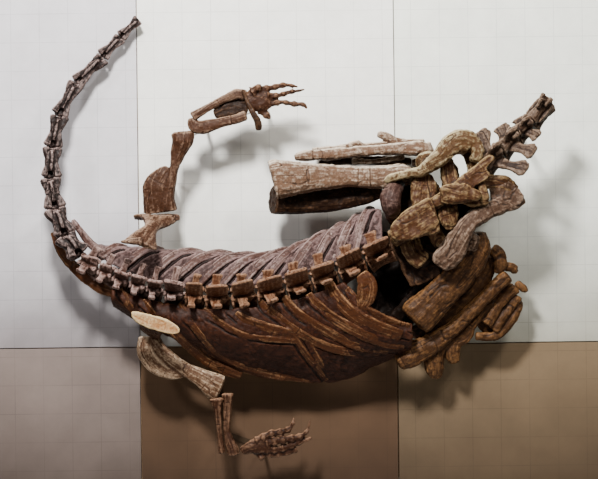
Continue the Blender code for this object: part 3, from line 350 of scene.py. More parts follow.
def grow(name, bars):
    """One mesh of closed bars: for each a disc is added and extruded from ring to ring."""
    bpy.ops.object.select_all(action="DESELECT")
    bpy.ops.mesh.primitive_circle_add(vertices=len(bars[0].rings[0]), fill_type="NGON")
    blank = bpy.context.object
    blank.name = name
    blank.data.name = name
    blank.data.attributes.new("step", "INT", "POINT")
    bpy.ops.object.mode_set(mode="EDIT")
    for number, bar in enumerate(bars):
        if number:
            bpy.ops.mesh.select_all(action="DESELECT")
            bpy.ops.mesh.primitive_circle_add(vertices=len(bar.rings[0]), fill_type="NGON")
        mesh = bmesh.from_edit_mesh(blank.data)
        step = mesh.verts.layers.int["step"]
        for place, vertex in enumerate([vertex for vertex in mesh.verts if vertex.select]):
            vertex[step] = place
        for count, ring in enumerate(bar.rings):
            if count:
                bpy.ops.mesh.extrude_region()
            mesh = bmesh.from_edit_mesh(blank.data)
            step = mesh.verts.layers.int["step"]
            for vertex in mesh.verts:
                if vertex.select:
                    vertex.co = ring[vertex[step]]
    bpy.ops.mesh.select_all(action="SELECT")
    bpy.ops.mesh.normals_make_consistent(inside=False)
    bpy.ops.object.mode_set(mode="OBJECT")
    return blank


def apply_modifier(item, kind, **settings):
    bpy.ops.object.select_all(action="DESELECT")
    item.select_set(True)
    bpy.context.view_layer.objects.active = item
    modifier = item.modifiers.new(kind.lower(), kind)
    for name, value in settings.items():
        setattr(modifier, name, value)
    bpy.ops.object.modifier_apply(modifier=modifier.name)


def lattice_noise(points, seed=0):
    """Smooth noise from -1 to 1 at each row of points, with one cell to the unit."""
    cell = np.floor(points).astype(np.int64)
    within = points - cell
    within = within * within * (3 - 2 * within)
    noise_here = np.zeros(len(points))
    for corner in itertools.product((0, 1), repeat=3):
        x, y, z = (cell + corner).T
        mixed = (x * 374761393 + y * 668265263 + z * 2147483647 + seed * 1274126177) & 0xFFFFFFFF
        mixed = ((mixed ^ (mixed >> 13)) * 1103515245) & 0xFFFFFFFF
        value = ((mixed ^ (mixed >> 16)) & 0xFFFF) / 32767.5 - 1
        weight = np.prod(np.where(corner, within, 1 - within), axis=1)
        noise_here += weight * value
    return noise_here


def read(mesh, what, key, width, kind=np.float64):
    values = np.empty(len(what) * width, kind)
    what.foreach_get(key, values)
    return values.reshape(-1, width)


def store(mesh, name, values):
    """Keeps one number or vector for each point of a mesh, for its material to read."""
    kind, key = ("FLOAT", "value") if values.ndim == 1 else ("FLOAT_VECTOR", "vector")
    attribute = mesh.attributes.new(name, kind, "POINT")
    attribute.data.foreach_set(key, values.astype(np.float32).ravel())


def grain_of(points, bars):
    """Each point's place along its nearest bar, and to the side of it and above it."""
    centres = np.array([c for bar in bars for c in bar.centres])
    reach = np.array([r for bar in bars for r in bar.reach]) + LEAST_REACH
    frames = [np.array([v for bar in bars for v in getattr(bar, key)])
              for key in ("ahead", "side", "rise")]
    along = []
    for number, bar in enumerate(bars):
        gone = BAR_OFFSET * number
        for here, there in zip(bar.centres, bar.centres[1:] + [bar.centres[-1]]):
            along.append(gone)
            gone += (there - here).length
    along = np.array(along)
    grain = np.empty_like(points)
    for start in range(0, len(points), BATCH):
        some = points[start:start + BATCH]
        distance = ((some[:, None, :] - centres[None]) ** 2).sum(2) / reach ** 2
        near = distance.argmin(1)
        away = some - centres[near]
        parts = [(away * frame_part[near]).sum(1) for frame_part in frames]
        grain[start:start + BATCH] = np.stack([along[near] + parts[0], parts[1], parts[2]], 1)
    return grain


def curvature(mesh, points, normals, rounds):
    """How far each point stands proud of the smoothed shape round it, in metres."""
    edges = read(mesh, mesh.edges, "vertices", 2, np.int32)
    count = len(points)
    neighbours = np.bincount(edges.ravel(), minlength=count)[:, None]
    smooth = points.copy()
    for _ in range(rounds):
        sums = [np.bincount(edges[:, 0], smooth[edges[:, 1], axis], count)
                + np.bincount(edges[:, 1], smooth[edges[:, 0], axis], count) for axis in range(3)]
        smooth = np.stack(sums, 1) / np.maximum(neighbours, 1)
    return ((points - smooth) * normals).sum(1)


def weather(bone, bars, seed, lumps=1.0, grooves=1.0, cracks=1.0, hollows=(), shaded_clefts=()):
    """Carves lumps, grain, pits and cracks into a bone and notes its ridges and hollows.

    The last argument is where a groove opens beside each bar, carved in and darkened as painted
    shadow: from, to, and depth, in metres.
    """
    mesh = bone.data
    points = read(mesh, mesh.vertices, "co", 3)
    normals = read(mesh, mesh.vertex_normals, "vector", 3)
    grain = grain_of(points, bars)
    carve = np.zeros(len(points))
    for number, ((width, height), share) in enumerate(zip(LUMPS, (lumps, lumps, 1.0))):
        carve += lattice_noise(points / width, seed + number) * height * share
    carve += lattice_noise(grain * FURROWS, seed + 3) * FURROW_DEPTH * grooves
    split = np.abs(lattice_noise(grain * SPLITS, seed + 4))
    where = lattice_noise(points / SPLIT_PATCH, seed + 5) > -0.1
    crack = np.clip(1 - split / SPLIT_WIDTH, 0, 1) * where * cracks
    across = np.abs(lattice_noise(grain * BREAKS + 7, seed + 6))
    where = lattice_noise(points / BREAK_PATCH, seed + 7) > 0.15
    crack = np.maximum(crack, np.clip(1 - across / BREAK_WIDTH, 0, 1) * where * cracks)
    pits = np.clip(lattice_noise(points / PIT_SPACING, seed + 8) - 0.45, 0, 1)
    carve -= crack * CRACK_DEPTH + pits * PIT_DEPTH
    shaded_cleft = np.zeros(len(points))
    if shaded_clefts:
        near, far, depth = shaded_clefts
        side = -grain[:, 1] + lattice_noise(points / CLEFT_BEND, seed + 9) * CLEFT_EDGE
        shaded_cleft = np.clip((side - near) / CLEFT_EDGE, 0, 1) * np.clip((far - side) / CLEFT_EDGE, 0, 1)
        shaded_cleft *= np.clip(lattice_noise(points / CLEFT_PATCH, seed + 10) * 3 + 1.2, 0, 1)
        carve -= shaded_cleft * depth
    for centre, radius, depth in hollows:
        share = np.linalg.norm(points - np.array(centre), axis=1) / radius
        carve -= depth * np.clip(1 - share * share, 0, 1)
    points = points + normals * carve[:, None]
    mesh.vertices.foreach_set("co", points.ravel())
    mesh.update()
    normals = read(mesh, mesh.vertex_normals, "vector", 3)
    relief = sum(curvature(mesh, points, normals, rounds) / height
                 for rounds, height in (FINE_RELIEF, BROAD_RELIEF))
    store(mesh, "grain", grain)
    # How far each point faces up and toward the key light, for the finish's dust and painted
    # highlight.
    store(mesh, "upward", normals @ DUST_AND_LIGHT_SIDE)
    # The relief drops along the grooves beside the ribs, so the finish darkens them: painted
    # shadow.
    store(mesh, "relief", np.clip(relief - crack * 0.9 - shaded_cleft * 1.6, -2, 2))


def finish_bone(bone, node, material):
    """Smooths a bone's shading, gives it its finish and puts it in its CAD node's place."""
    step = bone.data.attributes.get("step")
    if step:
        bone.data.attributes.remove(step)
    bone.data.shade_smooth()
    give_finish(bone, material)
    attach(bone, "root")
    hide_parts(node)


def fossil(name, bars, node, slot, material, smoothing=3, **weathering):
    """Grows a bone from its bars, fuses them to one skin and weathers it."""
    bone = grow(name, bars)
    apply_modifier(bone, "REMESH", mode="VOXEL", voxel_size=SKIN_GRAIN)
    apply_modifier(bone, "SMOOTH", factor=0.5, iterations=smoothing)
    weather(bone, bars, int(random_draw.integers(1000)), **weathering)
    finish_bone(bone, node, material)


def fossil_group():
    """The look of fossil bone: mottled, streaked along its grain, pale ridges and dark cracks,
    with painted highlight toward the light and painted shade in hollows and grooves.
    """
    tree, given = open_group("fossil_surface", {
        "Pale": (0.5, 0.45, 0.4, 1), "Brown": (0.2, 0.1, 0.05, 1), "Dark": (0.03, 0.02, 0.015, 1),
        "Paleness": 0.0, "Dust": 0.5, "Ridges": 0.4, "Streaks": 0.7, "Cracks": 0.5, "Hollows": 0.85,
    }, ("Color", "Roughness", "Height"))
    place = add(tree, "TexCoord").outputs["Object"]
    grain = add(tree, "Attribute", attribute_name="grain").outputs["Vector"]
    relief = add(tree, "Attribute", attribute_name="relief").outputs["Fac"]
    upward = add(tree, "Attribute", attribute_name="upward").outputs["Fac"]
    broad = noise(tree, place, 11, 5, 0.62, 0.4)
    spots = noise(tree, place, 85, 4, 0.7)
    fine = noise(tree, place, 330, 2, 0.6)
    streaks = noise(tree, stretch(tree, grain, (6, 90, 90)), 1.6, 4, 0.65)
    # Faces up and toward the light turn pale: settled dust and painted highlight.
    share = total(tree, given["Paleness"],
                  fade(tree, broad, 0.3, 0.7, -0.18, 0.18),
                  times(tree, fade(tree, upward, 0.5, 0.9), given["Dust"]),
                  times(tree, fade(tree, relief, -1, 1, -1, 1), given["Ridges"]),
                  fade(tree, spots, 0.25, 0.6, 0.12, -0.14),
                  times(tree, fade(tree, streaks, 0.3, 0.7, -0.5, 0.5), given["Streaks"]),
                  clamp=True)
    colour = blend(tree, share, given["Brown"], given["Pale"])
    cloud = add(tree, "TexNoise", {"Vector": place, "Scale": 30.0}).outputs["Color"]
    warped = stretch(tree, blend(tree, 0.04, grain, cloud), (22, 85, 85))
    web = add(tree, "TexVoronoi", {"Vector": warped, "Scale": 1.0}, feature="DISTANCE_TO_EDGE")
    crack = times(tree, fade(tree, web.outputs["Distance"], 0.0, 0.05, 1.0, 0.0),
                  fade(tree, broad, 0.48, 0.56))
    crack = times(tree, crack, given["Cracks"])
    # Hollows, and the grooves beside the ribs, darken toward near black: painted shade.
    hollow = times(tree, fade(tree, relief, -0.25, -1.3), given["Hollows"])
    stain = fade(tree, spots, 0.56, 0.74, 0.0, 0.45)
    dark = calculate(tree, "MAXIMUM", calculate(tree, "MAXIMUM", crack, hollow), stain)
    colour = blend(tree, times(tree, dark, 0.85), colour, given["Dark"])
    colour = shade(tree, colour, fade(tree, fine, 0.3, 0.7, 0.68, 1.28))
    height = total(tree, times(tree, streaks, 0.7), times(tree, fine, 0.35),
                   times(tree, spots, 0.8), times(tree, crack, -0.9))
    return close_group(tree, Color=colour, Roughness=fade(tree, spots, 0.3, 0.7, 0.36, 0.66),
                       Height=height)


FOSSIL_SURFACE = fossil_group()


def bone_finish(name, pale, brown, bump=0.0022, **values):
    """Fossil bone or rock in its own tones; values are the other sockets of the shared look."""
    material, tree, shader = new_material(name, 0.7, Specular_IOR_Level=0.12)
    tones = {"Pale": pale, "Brown": brown, "Dark": (0.004, 0.002, 0.0015), **values}
    place_group(tree, shader, FOSSIL_SURFACE, tones, bump, 0.8)
    return material


# Its brown is the bone's dark tone deepened to near black on faces turned from the light: painted
# shade.
NECK_BONE = bone_finish("neck_bone", (0.32, 0.23, 0.21), (0.0075, 0.0033, 0.0026),
                        Paleness=0.02, Dust=0.75)


class Seat:
    """Where one vertebra lies: its own lengthwise, rightward and upward directions."""

    def __init__(self, start, end, roll, sink=0.0):
        self.start = on_panel(*start)
        ahead = on_panel(*end) - self.start
        self.length = ahead.length / CM
        self.ahead = ahead.normalized()
        right = Vector((-self.ahead.z, 0, self.ahead.x))
        upward = OUTWARD * math.cos(roll) + right * math.sin(roll)
        self.right = self.ahead.cross(upward).normalized()
        if self.right.dot(right) < 0:
            self.right = -self.right
        self.up = (upward - self.ahead * upward.dot(self.ahead)).normalized()
        self.start = self.start - self.up * sink * CM
        self.near = VERTEBRA_GAP / self.length
        self.far = 1 - self.near

    def bar(self, stations, wide, sides, square):
        eased = ease([(station[0] * self.length, *station[1:]) for station in stations])
        centres = [self.start + (self.ahead * row[0] + self.right * row[1] + self.up * row[2]) * CM
                   for row in eased]
        widths = [row[3] * CM for row in eased]
        depths = [row[4] * CM for row in eased]
        return Bar(centres, widths, depths, [wide] * len(centres), sides, square)

    def rod(self, stations, sides=SIDES, square=0.9):
        """A bar lengthwise: share of the length, right, up, half width, half height."""
        return self.bar(stations, self.right, sides, square)

    def plate(self, stations, square=0.55):
        """A bar standing up or out: share, right, up, half length, half thickness."""
        return self.bar(stations, self.ahead, SIDES, square)


def neck_bars(seat, girth, uneven):
    """The bars of one neck vertebra, and the deep hollow between the lobes at its far end."""
    near, far, deep, length = seat.near, seat.far, girth * 0.85, seat.length
    bars = [
        seat.rod([(near, 0, -deep, girth * 0.70, girth * 0.66),
                  (0.5, 0, -deep * 0.9, girth * 0.60, girth * 0.56),
                  (far, 0, -deep, girth * 0.74, girth * 0.68)]),
        seat.rod([(0.12, 0, 0, girth * 0.5, girth * 0.30),
                  (0.3, 0, 0.1, girth * 0.74, girth * 0.44),
                  (0.6, 0, 0.1, girth * 0.66, girth * 0.44),
                  (0.84, 0, 0, girth * 0.52, girth * 0.26)]),
        seat.plate([(0.5, 0, -deep, length * 0.34, girth * 0.42),
                    (0.5, 0, 0, length * 0.36, girth * 0.48)]),
        seat.plate([(0.50, 0, 0, length * 0.36, girth * 0.22),
                    (0.54, uneven[0] * 0.2, girth * 0.80, length * 0.27, girth * 0.13)]),
    ]
    for side in (-1, 1):
        size = girth * (1 + 0.14 * side * uneven[1])
        bars.append(seat.rod([(0.42, side * size * 0.34, 0, size * 0.34, size * 0.34),
                              (0.18, side * size * 0.62, 0, size * 0.36, size * 0.34),
                              (near, side * size * 0.68, 0, size * 0.42, size * 0.38)]))
        size = girth * (1 + 0.14 * side * uneven[2])
        bars.append(seat.rod([(0.54, side * size * 0.30, 0.1, size * 0.34, size * 0.34),
                              (0.80, side * size * 0.60, 0.3, size * 0.36, size * 0.36),
                              (far, side * size * 0.72, 0.45, size * 0.44, size * 0.40)]))
    hollows = []
    for share, size in ((0.80, 0.24), (0.88, 0.32), (0.96, 0.36)):
        middle = seat.start + (seat.ahead * length * share + seat.up * girth * 0.15) * CM
        hollows.append((middle, girth * size * CM, girth * size * 0.5 * CM))
    return bars, hollows


for index in range(NECK_COUNT):
    roll = NECK_ROLL + TRUNK_ROLL * 0.7 * (index / NECK_COUNT) ** 3
    seat = Seat(NECK_LINE[index], NECK_LINE[index + 1], roll)
    girth = 1.7 + 2.3 * ((index + 0.5) / NECK_COUNT) ** 0.8
    bars, hollows = neck_bars(seat, girth, random_draw.uniform(-1, 1, 3))
    fossil(f"neck_bone_{index + 1}", bars, f"neck_vertebra_{index + 1}", "bone_grey", NECK_BONE,
           smoothing=2, hollows=hollows)

# ------------------------------------------------------------------------------------ the back
# Fourteen back vertebrae with deep spools, tall plate-like spines with thick worn tops, broad
# processes to both sides and paired knobs that lock each to the next. The grey ones are harder.
GREY_BONE = bone_finish("grey_trunk_bone", (0.32, 0.215, 0.19), (0.045, 0.02, 0.014),
                        Paleness=0.1, Dust=0.35, Ridges=0.5, Hollows=0.55)
BROWN_BONE = bone_finish("brown_trunk_bone", (0.27, 0.155, 0.095), (0.07, 0.024, 0.0095),
                         Paleness=0.1, Dust=0.12, Ridges=0.5, Hollows=0.5)
TRUNK_LINE = [
    (-73.5, -4, 23.5), (-67, -7.5, 25), (-62, -9.5, 26), (-56.5, -11.5, 26.5), (-51, -13, 27),
    (-45.5, -14, 27), (-38.5, -15, 27.5), (-32, -16, 28), (-23.5, -16, 28), (-15, -15, 28),
    (-5.5, -13.5, 28), (3, -11, 28), (11.5, -8, 28), (20.5, -4.5, 28.5), (29.5, 0, 29),
]
TRUNK_COUNT = len(TRUNK_LINE) - 1
GREY_KIND = 8               # the first eight are of the grey kind, and two of them stained brown
GREY_FACED = 6
SPINE_SUNK = 0.62           # the share of a spine's height that lies below the line
KNOB_SIDES = 12


def trunk_bars(seat, girth, reach, height, uneven):
    """The bars of one back vertebra, and the round hollows in its knobs."""
    near, far, half = seat.near, seat.far, seat.length / 2
    bars = [
        seat.rod([(near, 0, -7, girth, girth), (0.2, 0, -6.9, girth * 0.86, girth * 0.86),
                  (0.5, 0, -6.8, girth * 0.72, girth * 0.72),
                  (0.8, 0, -6.9, girth * 0.86, girth * 0.86), (far, 0, -7, girth, girth)]),
        seat.plate([(0.5, 0, -5.5, half * 0.72, 1.5), (0.5, 0, 0.4, half * 0.88, 1.6)]),
        seat.plate([
            (0.52, 0, -0.6, half * 0.80, 1.1), (0.54, 0, height * 0.6, half * 0.90, 0.65),
            (0.56, uneven[1] * 0.5, height * 0.84, half * (0.90 + 0.05 * uneven[0]), 0.55),
            (0.56 + 0.03 * uneven[0], uneven[1] * 0.7, height, half * (0.90 + 0.07 * uneven[2]),
             0.6 + 0.15 * uneven[0]),
        ], 0.4),
    ]
    hollows = []
    for side in (-1, 1):
        stretched = (1 if side > 0 else 0.8) + 0.12 * uneven[0] * side
        bars.append(seat.plate([
            (0.45, side * 0.6, -0.8, half * 0.52, 0.75),
            (0.48, side * reach * 0.6, reach * 0.22, half * 0.34, 0.5),
            (0.53, side * reach * 0.86 * stretched, reach * 0.34, half * 0.40, 0.7),
            (0.54, side * reach * stretched, reach * 0.40, half * 0.46, 0.85),
        ]))
        bars.append(seat.rod([(0.66, side * 1.0, 0.0, 0.7, 0.7), (0.84, side * 1.5, 0.7, 0.75, 0.7),
                              (far, side * 1.8, 1.1, 0.85, 0.75)], KNOB_SIDES))
        bars.append(seat.rod([(near, side * 1.8, 0.1, 0.85, 0.65),
                              (0.16, side * 1.5, -0.1, 0.75, 0.7),
                              (0.30, side * 1.1, -0.3, 0.7, 0.7)], KNOB_SIDES))
        hollows.append((bars[-2].centres[-2] + seat.up * 0.75 * CM, 0.0048, 0.006))
        bars.append(seat.plate([(0.30, side * 0.5, 0.2, half * 0.16, 0.35),
                                (0.36, side * reach * 0.5, reach * 0.16, half * 0.14, 0.3)]))
    return bars, hollows


for index in range(TRUNK_COUNT):
    share = index / (TRUNK_COUNT - 1)
    height = 3.6 + 4.4 * min(1.0, share * 1.8)
    reach = 6.0 + 0.8 * math.sin(math.pi * share)
    seat = Seat(TRUNK_LINE[index], TRUNK_LINE[index + 1], TRUNK_ROLL, height * SPINE_SUNK)
    uneven = random_draw.uniform(-1, 1, 3)
    bars, hollows = trunk_bars(seat, 2.7 + 0.5 * share, reach, height, uneven)
    fossil(f"back_bone_{index + 1:02d}", bars, f"trunk_vertebra_{index + 1:02d}",
           "bone_grey" if index < GREY_KIND else "bone_brown",
           GREY_BONE if index < GREY_FACED else BROWN_BONE, smoothing=2, hollows=hollows)

# ------------------------------------------------------------------------------------- the tail
# Four vertebrae are left of the tail, with leaning spines and side processes swept backward.
# The fossil ends at a clean break.
TAIL_BONE = bone_finish("tail_bone", (0.22, 0.15, 0.105), (0.022, 0.0095, 0.0045),
                        Paleness=0.1, Dust=0.55)
TAIL_LINE = [(61, 24, 31), (66.5, 29, 30), (72, 34.5, 29), (77, 38.5, 28), (83.5, 46, 27)]
TAIL_ROLL = math.radians(24)
RIGHT_REACH = (10.0, 6.0, 3.8, 3.4)     # how far each vertebra's processes stand out, in cm
LEFT_REACH = (11.5, 9.5, 6.0, 3.0)
SWEEP = (0.62, 0.34, 0.20, 0.0)         # and how far back, as a share of its length


def tail_bars(seat, girth, right_reach, left_reach, sweep, height):
    near, far, half = seat.near, seat.far, seat.length / 2
    bars = [
        seat.rod([(near, 0, -5, girth, girth), (0.5, 0, -4.8, girth * 0.78, girth * 0.8),
                  (far, 0, -5, girth, girth)]),
        seat.rod([(near, 0, -0.6, girth * 0.8, 2.5), (0.5, 0, -0.4, girth * 0.60, 2.3),
                  (far, 0, -0.6, girth * 0.72, 2.5)]),
        seat.plate([(0.55, 0, 0.4, half * 0.7, 0.8), (0.85, 0, height, half * 0.8, 0.7)]),
    ]
    for side, reach in ((1, right_reach), (-1, left_reach)):
        bars.append(seat.plate([
            (0.50, side * girth * 0.4, -1.6, half * 0.62, 1.0),
            (0.50 + sweep * 0.5, side * reach * 0.55, -1.4, half * 0.45, 0.8),
            (0.50 + sweep * 0.9, side * reach * 0.85, -1.2, half * 0.80, 0.9),
            (0.50 + sweep, side * reach, -1.2, half * 0.55, 0.7),
        ]))
        bars.append(seat.rod([(0.64, side * 1.0, 1.6, 0.8, 0.9), (far, side * 1.7, 2.0, 0.9, 0.8)],
                             KNOB_SIDES))
    return bars


for index in range(len(TAIL_LINE) - 1):
    seat = Seat(TAIL_LINE[index], TAIL_LINE[index + 1], TAIL_ROLL)
    bars = tail_bars(seat, 3.4 - 0.15 * index, RIGHT_REACH[index], LEFT_REACH[index], SWEEP[index],
                     5.5 - 1.1 * index)
    fossil(f"tail_bone_{index + 1}", bars, f"tail_vertebra_{index + 1}", "bone_brown", TAIL_BONE)

# ------------------------------------------------------------------------------ the left flank
# The left ribs lie crushed over the belly, stuck together by reddish rock. Their shafts stand
# out of it with pale edges, worn and with painted highlight on their upper sides, and the rock
# between is hackly where it was chipped away, darkened along each rib as painted shadow.
RIB_BONE = bone_finish("left_rib_bone", (0.38, 0.205, 0.095), (0.044, 0.0135, 0.004),
                       Paleness=0.0, Dust=0.95, Ridges=0.18)
RED_ROCK = bone_finish("red_rock", (0.062, 0.019, 0.0075), (0.019, 0.0052, 0.0021),
                       bump=0.003, Paleness=0.08, Dust=0.3, Ridges=0.4, Streaks=0.3)
LEFT_TOP = [
    (-63, -15.5, 20), (-50, -20, 20.5), (-33, -23.4, 21.5), (-16, -22.8, 22.5), (0, -19.8, 22.5),
    (10, -16.5, 22.5), (15, -14.5, 23.5), (18, -18, 25), (21.5, -21.5, 25), (28, -25.5, 23),
    (38.5, -29.5, 20),
]
LEFT_BELLY = [
    (-63, -21.5, 16), (-51, -29, 15.5), (-41, -33.5, 15), (-26, -41.5, 14), (-18, -45, 13),
    (-8, -45.5, 12), (4, -48.5, 11), (11, -49, 10), (17, -47.5, 10), (27, -42.5, 12),
    (38.5, -38, 14),
]
BULGE = 4.5                 # cm that the flank's middle stands out
SHEET_THICKNESS = 0.014
ROCK_GRAIN = 0.0032        # metres between the points of the rock
# Each rib's half width, and the line of its upper edge: across and up in cm.
LEFT_RIBS = [
    (1, [(-58.5, -15), (-56.5, -20), (-53.5, -23.5)]),
    (1.2, [(-51.5, -19), (-49.5, -21.5), (-46.5, -25.5)]),
    (1.5, [(-46, -19.5), (-41.5, -28), (-34, -36.5), (-29.5, -40), (-24.5, -42.5), (-19.5, -44.5)]),
    (1.1, [(-39, -20), (-33.5, -29), (-27, -36.5), (-18, -41.5), (-7, -45), (5, -47)]),
    (0.8, [(-32.5, -35.5), (-27.5, -39.5), (-20.5, -42.5), (-13, -45), (-5.5, -46.5)]),
    (0.9, [(-31.5, -22), (-26.5, -26), (-18.5, -30.5), (-9.5, -32), (-0.5, -33)]),
    (1.6, [(-20.5, -23), (-17.5, -25), (-9.5, -28), (-1.5, -29.5)]),
    (1.2, [(-12.5, -19), (-8.5, -23), (0, -29.5), (8, -34), (16.5, -36.5), (27, -37)]),
    (1.3, [(-4, -18), (0, -23), (6.5, -27.5), (14.5, -32), (20, -34.5), (30, -36)]),
    (1.5, [(4.5, -17), (7, -20.5), (13.5, -25.5), (21.5, -30), (29.5, -33.2), (35.5, -34)]),
    (2, [(12, -13.5), (14, -17.5), (20, -23.5), (28.5, -28), (35, -30)]),
    (1.4, [(17, -15.5), (22.5, -22), (31, -26.5), (37, -28)]),
    (1, [(-1.5, -31), (4, -39.5), (10, -47.5)]),
    (0.9, [(1.5, -30), (6.5, -39), (8.5, -43)]),
]
RIB_BREADTH = 1.3           # all of those half widths are widened by this
RIB_THICKNESS = 0.55
RIB_TILT = 0.45             # the upper edge of each rib stands out over the one before
RIB_SQUARE = 0.4            # how flat a rib's faces are: 1 is round and 0 is a box
ROCK_COLUMNS, ROCK_ROWS = 120, 40


def panel_bar(stations, square=0.8, tilt=0.0):
    """A bar along the panel. A station is across, up, off, half width, half depth in cm."""
    eased = ease(stations)
    centres = [on_panel(*row[:3]) for row in eased]
    last = len(centres) - 1
    wide = []
    for index in range(len(centres)):
        ahead = centres[min(index + 1, last)] - centres[max(index - 1, 0)]
        wide.append(ahead.cross(BACKWARD).normalized() + OUTWARD * tilt)
    return Bar(centres, [row[3] * CM for row in eased], [row[4] * CM for row in eased], wide,
               SIDES, square)


def along_line(line, position):
    """Height, or any later column, of a line of rows at a place across the panel."""
    if position <= line[0][0]:
        return Vector(line[0][1:])
    for left, right in zip(line, line[1:]):
        if position <= right[0]:
            share = (position - left[0]) / (right[0] - left[0])
            return Vector(left[1:]).lerp(Vector(right[1:]), share)
    return Vector(line[-1][1:])


def left_flank(across, share):
    """A point on the left side, from the backbone (0) to the belly (1)."""
    place = along_line(LEFT_TOP, across).lerp(along_line(LEFT_BELLY, across), share)
    return Vector((across, place.x, place.y + BULGE * 4 * share * (1 - share)))


def flank_height(across, up):
    """How far off the panel the left side is at a place on it."""
    top = along_line(LEFT_TOP, across).x
    belly = along_line(LEFT_BELLY, across).x
    return left_flank(across, max(0.0, min(1.0, (top - up) / (top - belly)))).z


def rock_sheet(name, surface, first, last):
    """Rock over a flank: a flat grid is added, laid on the flank and thickened."""
    bpy.ops.object.select_all(action="DESELECT")
    bpy.ops.mesh.primitive_grid_add(x_subdivisions=ROCK_COLUMNS, y_subdivisions=ROCK_ROWS, size=1)
    slab = bpy.context.object
    slab.name = name
    slab.data.name = name
    for vertex in slab.data.vertices:
        across = first + (last - first) * (vertex.co.x + 0.5)
        vertex.co = on_panel(*surface(across, 0.5 - vertex.co.y))
    apply_modifier(slab, "SOLIDIFY", thickness=SHEET_THICKNESS, offset=0)
    apply_modifier(slab, "REMESH", mode="VOXEL", voxel_size=ROCK_GRAIN)
    return slab


left_bars = []
for half_width, edge_line in LEFT_RIBS:
    stations = []
    last = len(edge_line) - 1
    half_width *= RIB_BREADTH
    for number, (across, up) in enumerate(edge_line):
        ahead = Vector(edge_line[min(number + 1, last)]) - Vector(edge_line[max(number - 1, 0)])
        ahead.normalize()
        middle = (across + ahead.y * half_width, up - ahead.x * half_width)
        slim = 0.75 if number in (0, last) else 1.0
        stations.append((*middle, flank_height(*middle) + 0.45, half_width * slim,
                         RIB_THICKNESS * slim))
    left_bars.append(panel_bar(stations, RIB_SQUARE, RIB_TILT))
left_bars.append(panel_bar([(-61, -18, 18, 1.6, 1.2), (-68, -15, 17.5, 2.0, 1.2),
                            (-75, -9.5, 17, 2.0, 1.2), (-80.5, -3.5, 16.5, 1.5, 1.0),
                            (-83.5, 3.5, 16.5, 0.8, 0.7)]))
left_bars.append(panel_bar([(20.5, -11.5, 27, 2.2, 0.8), (22.5, -15, 27, 3.3, 0.9),
                            (22, -19.5, 26.5, 3.2, 0.9), (20, -23, 25.5, 1.6, 0.8)]))
fossil("left_ribs", left_bars, "rib_cage_left", "bone_brown", RIB_BONE, smoothing=2)
rock = rock_sheet("left_rock", left_flank, -63, 37.5)
weather(rock, left_bars, 71, lumps=1.6, grooves=0.6, cracks=0.5, shaded_clefts=(0.010, 0.020, 0.005))
finish_bone(rock, "rib_cage_left", RED_ROCK)

# ----------------------------------------------------------------------------- the right flank
# The right ribs stand up from the backbone to a crest and turn down to the panel. Pinkish grey
# plates of bone and rock fill the spaces, with grooves along the back of each rib, carved and
# darkened as painted shadow.
PINK_ROCK = bone_finish("pink_rock", (0.2, 0.128, 0.12), (0.03, 0.013, 0.011),
                        bump=0.003, Paleness=0.12, Dust=0.42, Ridges=0.5, Streaks=0.3)
RIGHT_RIB_BONE = bone_finish("right_rib_bone", (0.34, 0.245, 0.225), (0.055, 0.026, 0.0205),
                             Paleness=0.1, Dust=0.6, Ridges=0.2)
RIGHT_ROOT = [
    (-70, -5, 17.5), (-50, -13, 18), (-32, -16, 18.5), (-15, -15.1, 18.5), (0, -11.8, 18.5),
    (14, -6.9, 18.8), (27, -1.3, 19),
]
RIGHT_CREST = [
    (-70, -1.5, 12), (-57, -2.4, 12), (-34, -4.2, 12), (-13, -5.8, 12), (-3, -3.6, 11.5),
    (6, 0.4, 11.5), (17.5, 5.6, 11), (24, 9.4, 11), (27.5, 9.6, 11.5), (30, 7, 12),
]
# Where each rib leaves the backbone, and how far it sweeps back.
RIGHT_RIBS = [
    (-68, 9), (-60, 14), (-51, 19), (-43.5, 23), (-35, 24), (-27, 21), (-20, 19), (-12, 17),
    (-4, 16), (4, 14), (12, 11), (18.5, 8),
]
RIGHT_RIB_HALF = 1.55
CREST_SHARE = 0.7           # how far round the side its crest lies


def right_flank(across, share):
    """A point on the right side, from the backbone (0) over the crest to the panel (1)."""
    root = along_line(RIGHT_ROOT, across)
    crest = along_line(RIGHT_CREST, across)
    rise = math.sin(min(share / CREST_SHARE, 1.0) * math.pi / 2)
    up = root.x + (crest.x - root.x) * rise - max(0.0, share - CREST_SHARE) * 4
    off = root.y + (crest.y - root.y) * (share / CREST_SHARE) ** 1.6
    return Vector((across, up, max(off, 5.5)))


right_bars = []
for root, sweep in RIGHT_RIBS:
    stations = []
    for share in (0.02, 0.22, 0.45, 0.70, 0.95):
        place = right_flank(root + sweep * share, share)
        stations.append((place.x, place.y + 0.3, place.z + 0.25, RIGHT_RIB_HALF, RIB_THICKNESS))
    right_bars.append(panel_bar(stations, RIB_SQUARE, -0.5))
right_bars.append(panel_bar([(-66, -4, 17, 1.4, 1.0), (-70.5, -0.5, 18, 1.5, 1.0),
                             (-74, 4, 18.5, 1.2, 0.9), (-76.5, 7.5, 18.5, 0.8, 0.7)]))
fossil("right_ribs", right_bars, "rib_cage_right", "bone_grey", RIGHT_RIB_BONE, smoothing=2)
rock = rock_sheet("right_rock", right_flank, -70, 28)
weather(rock, right_bars, 83, lumps=1.6, grooves=0.8, cracks=0.6, shaded_clefts=(0.013, 0.028, 0.010))
finish_bone(rock, "rib_cage_right", PINK_ROCK)

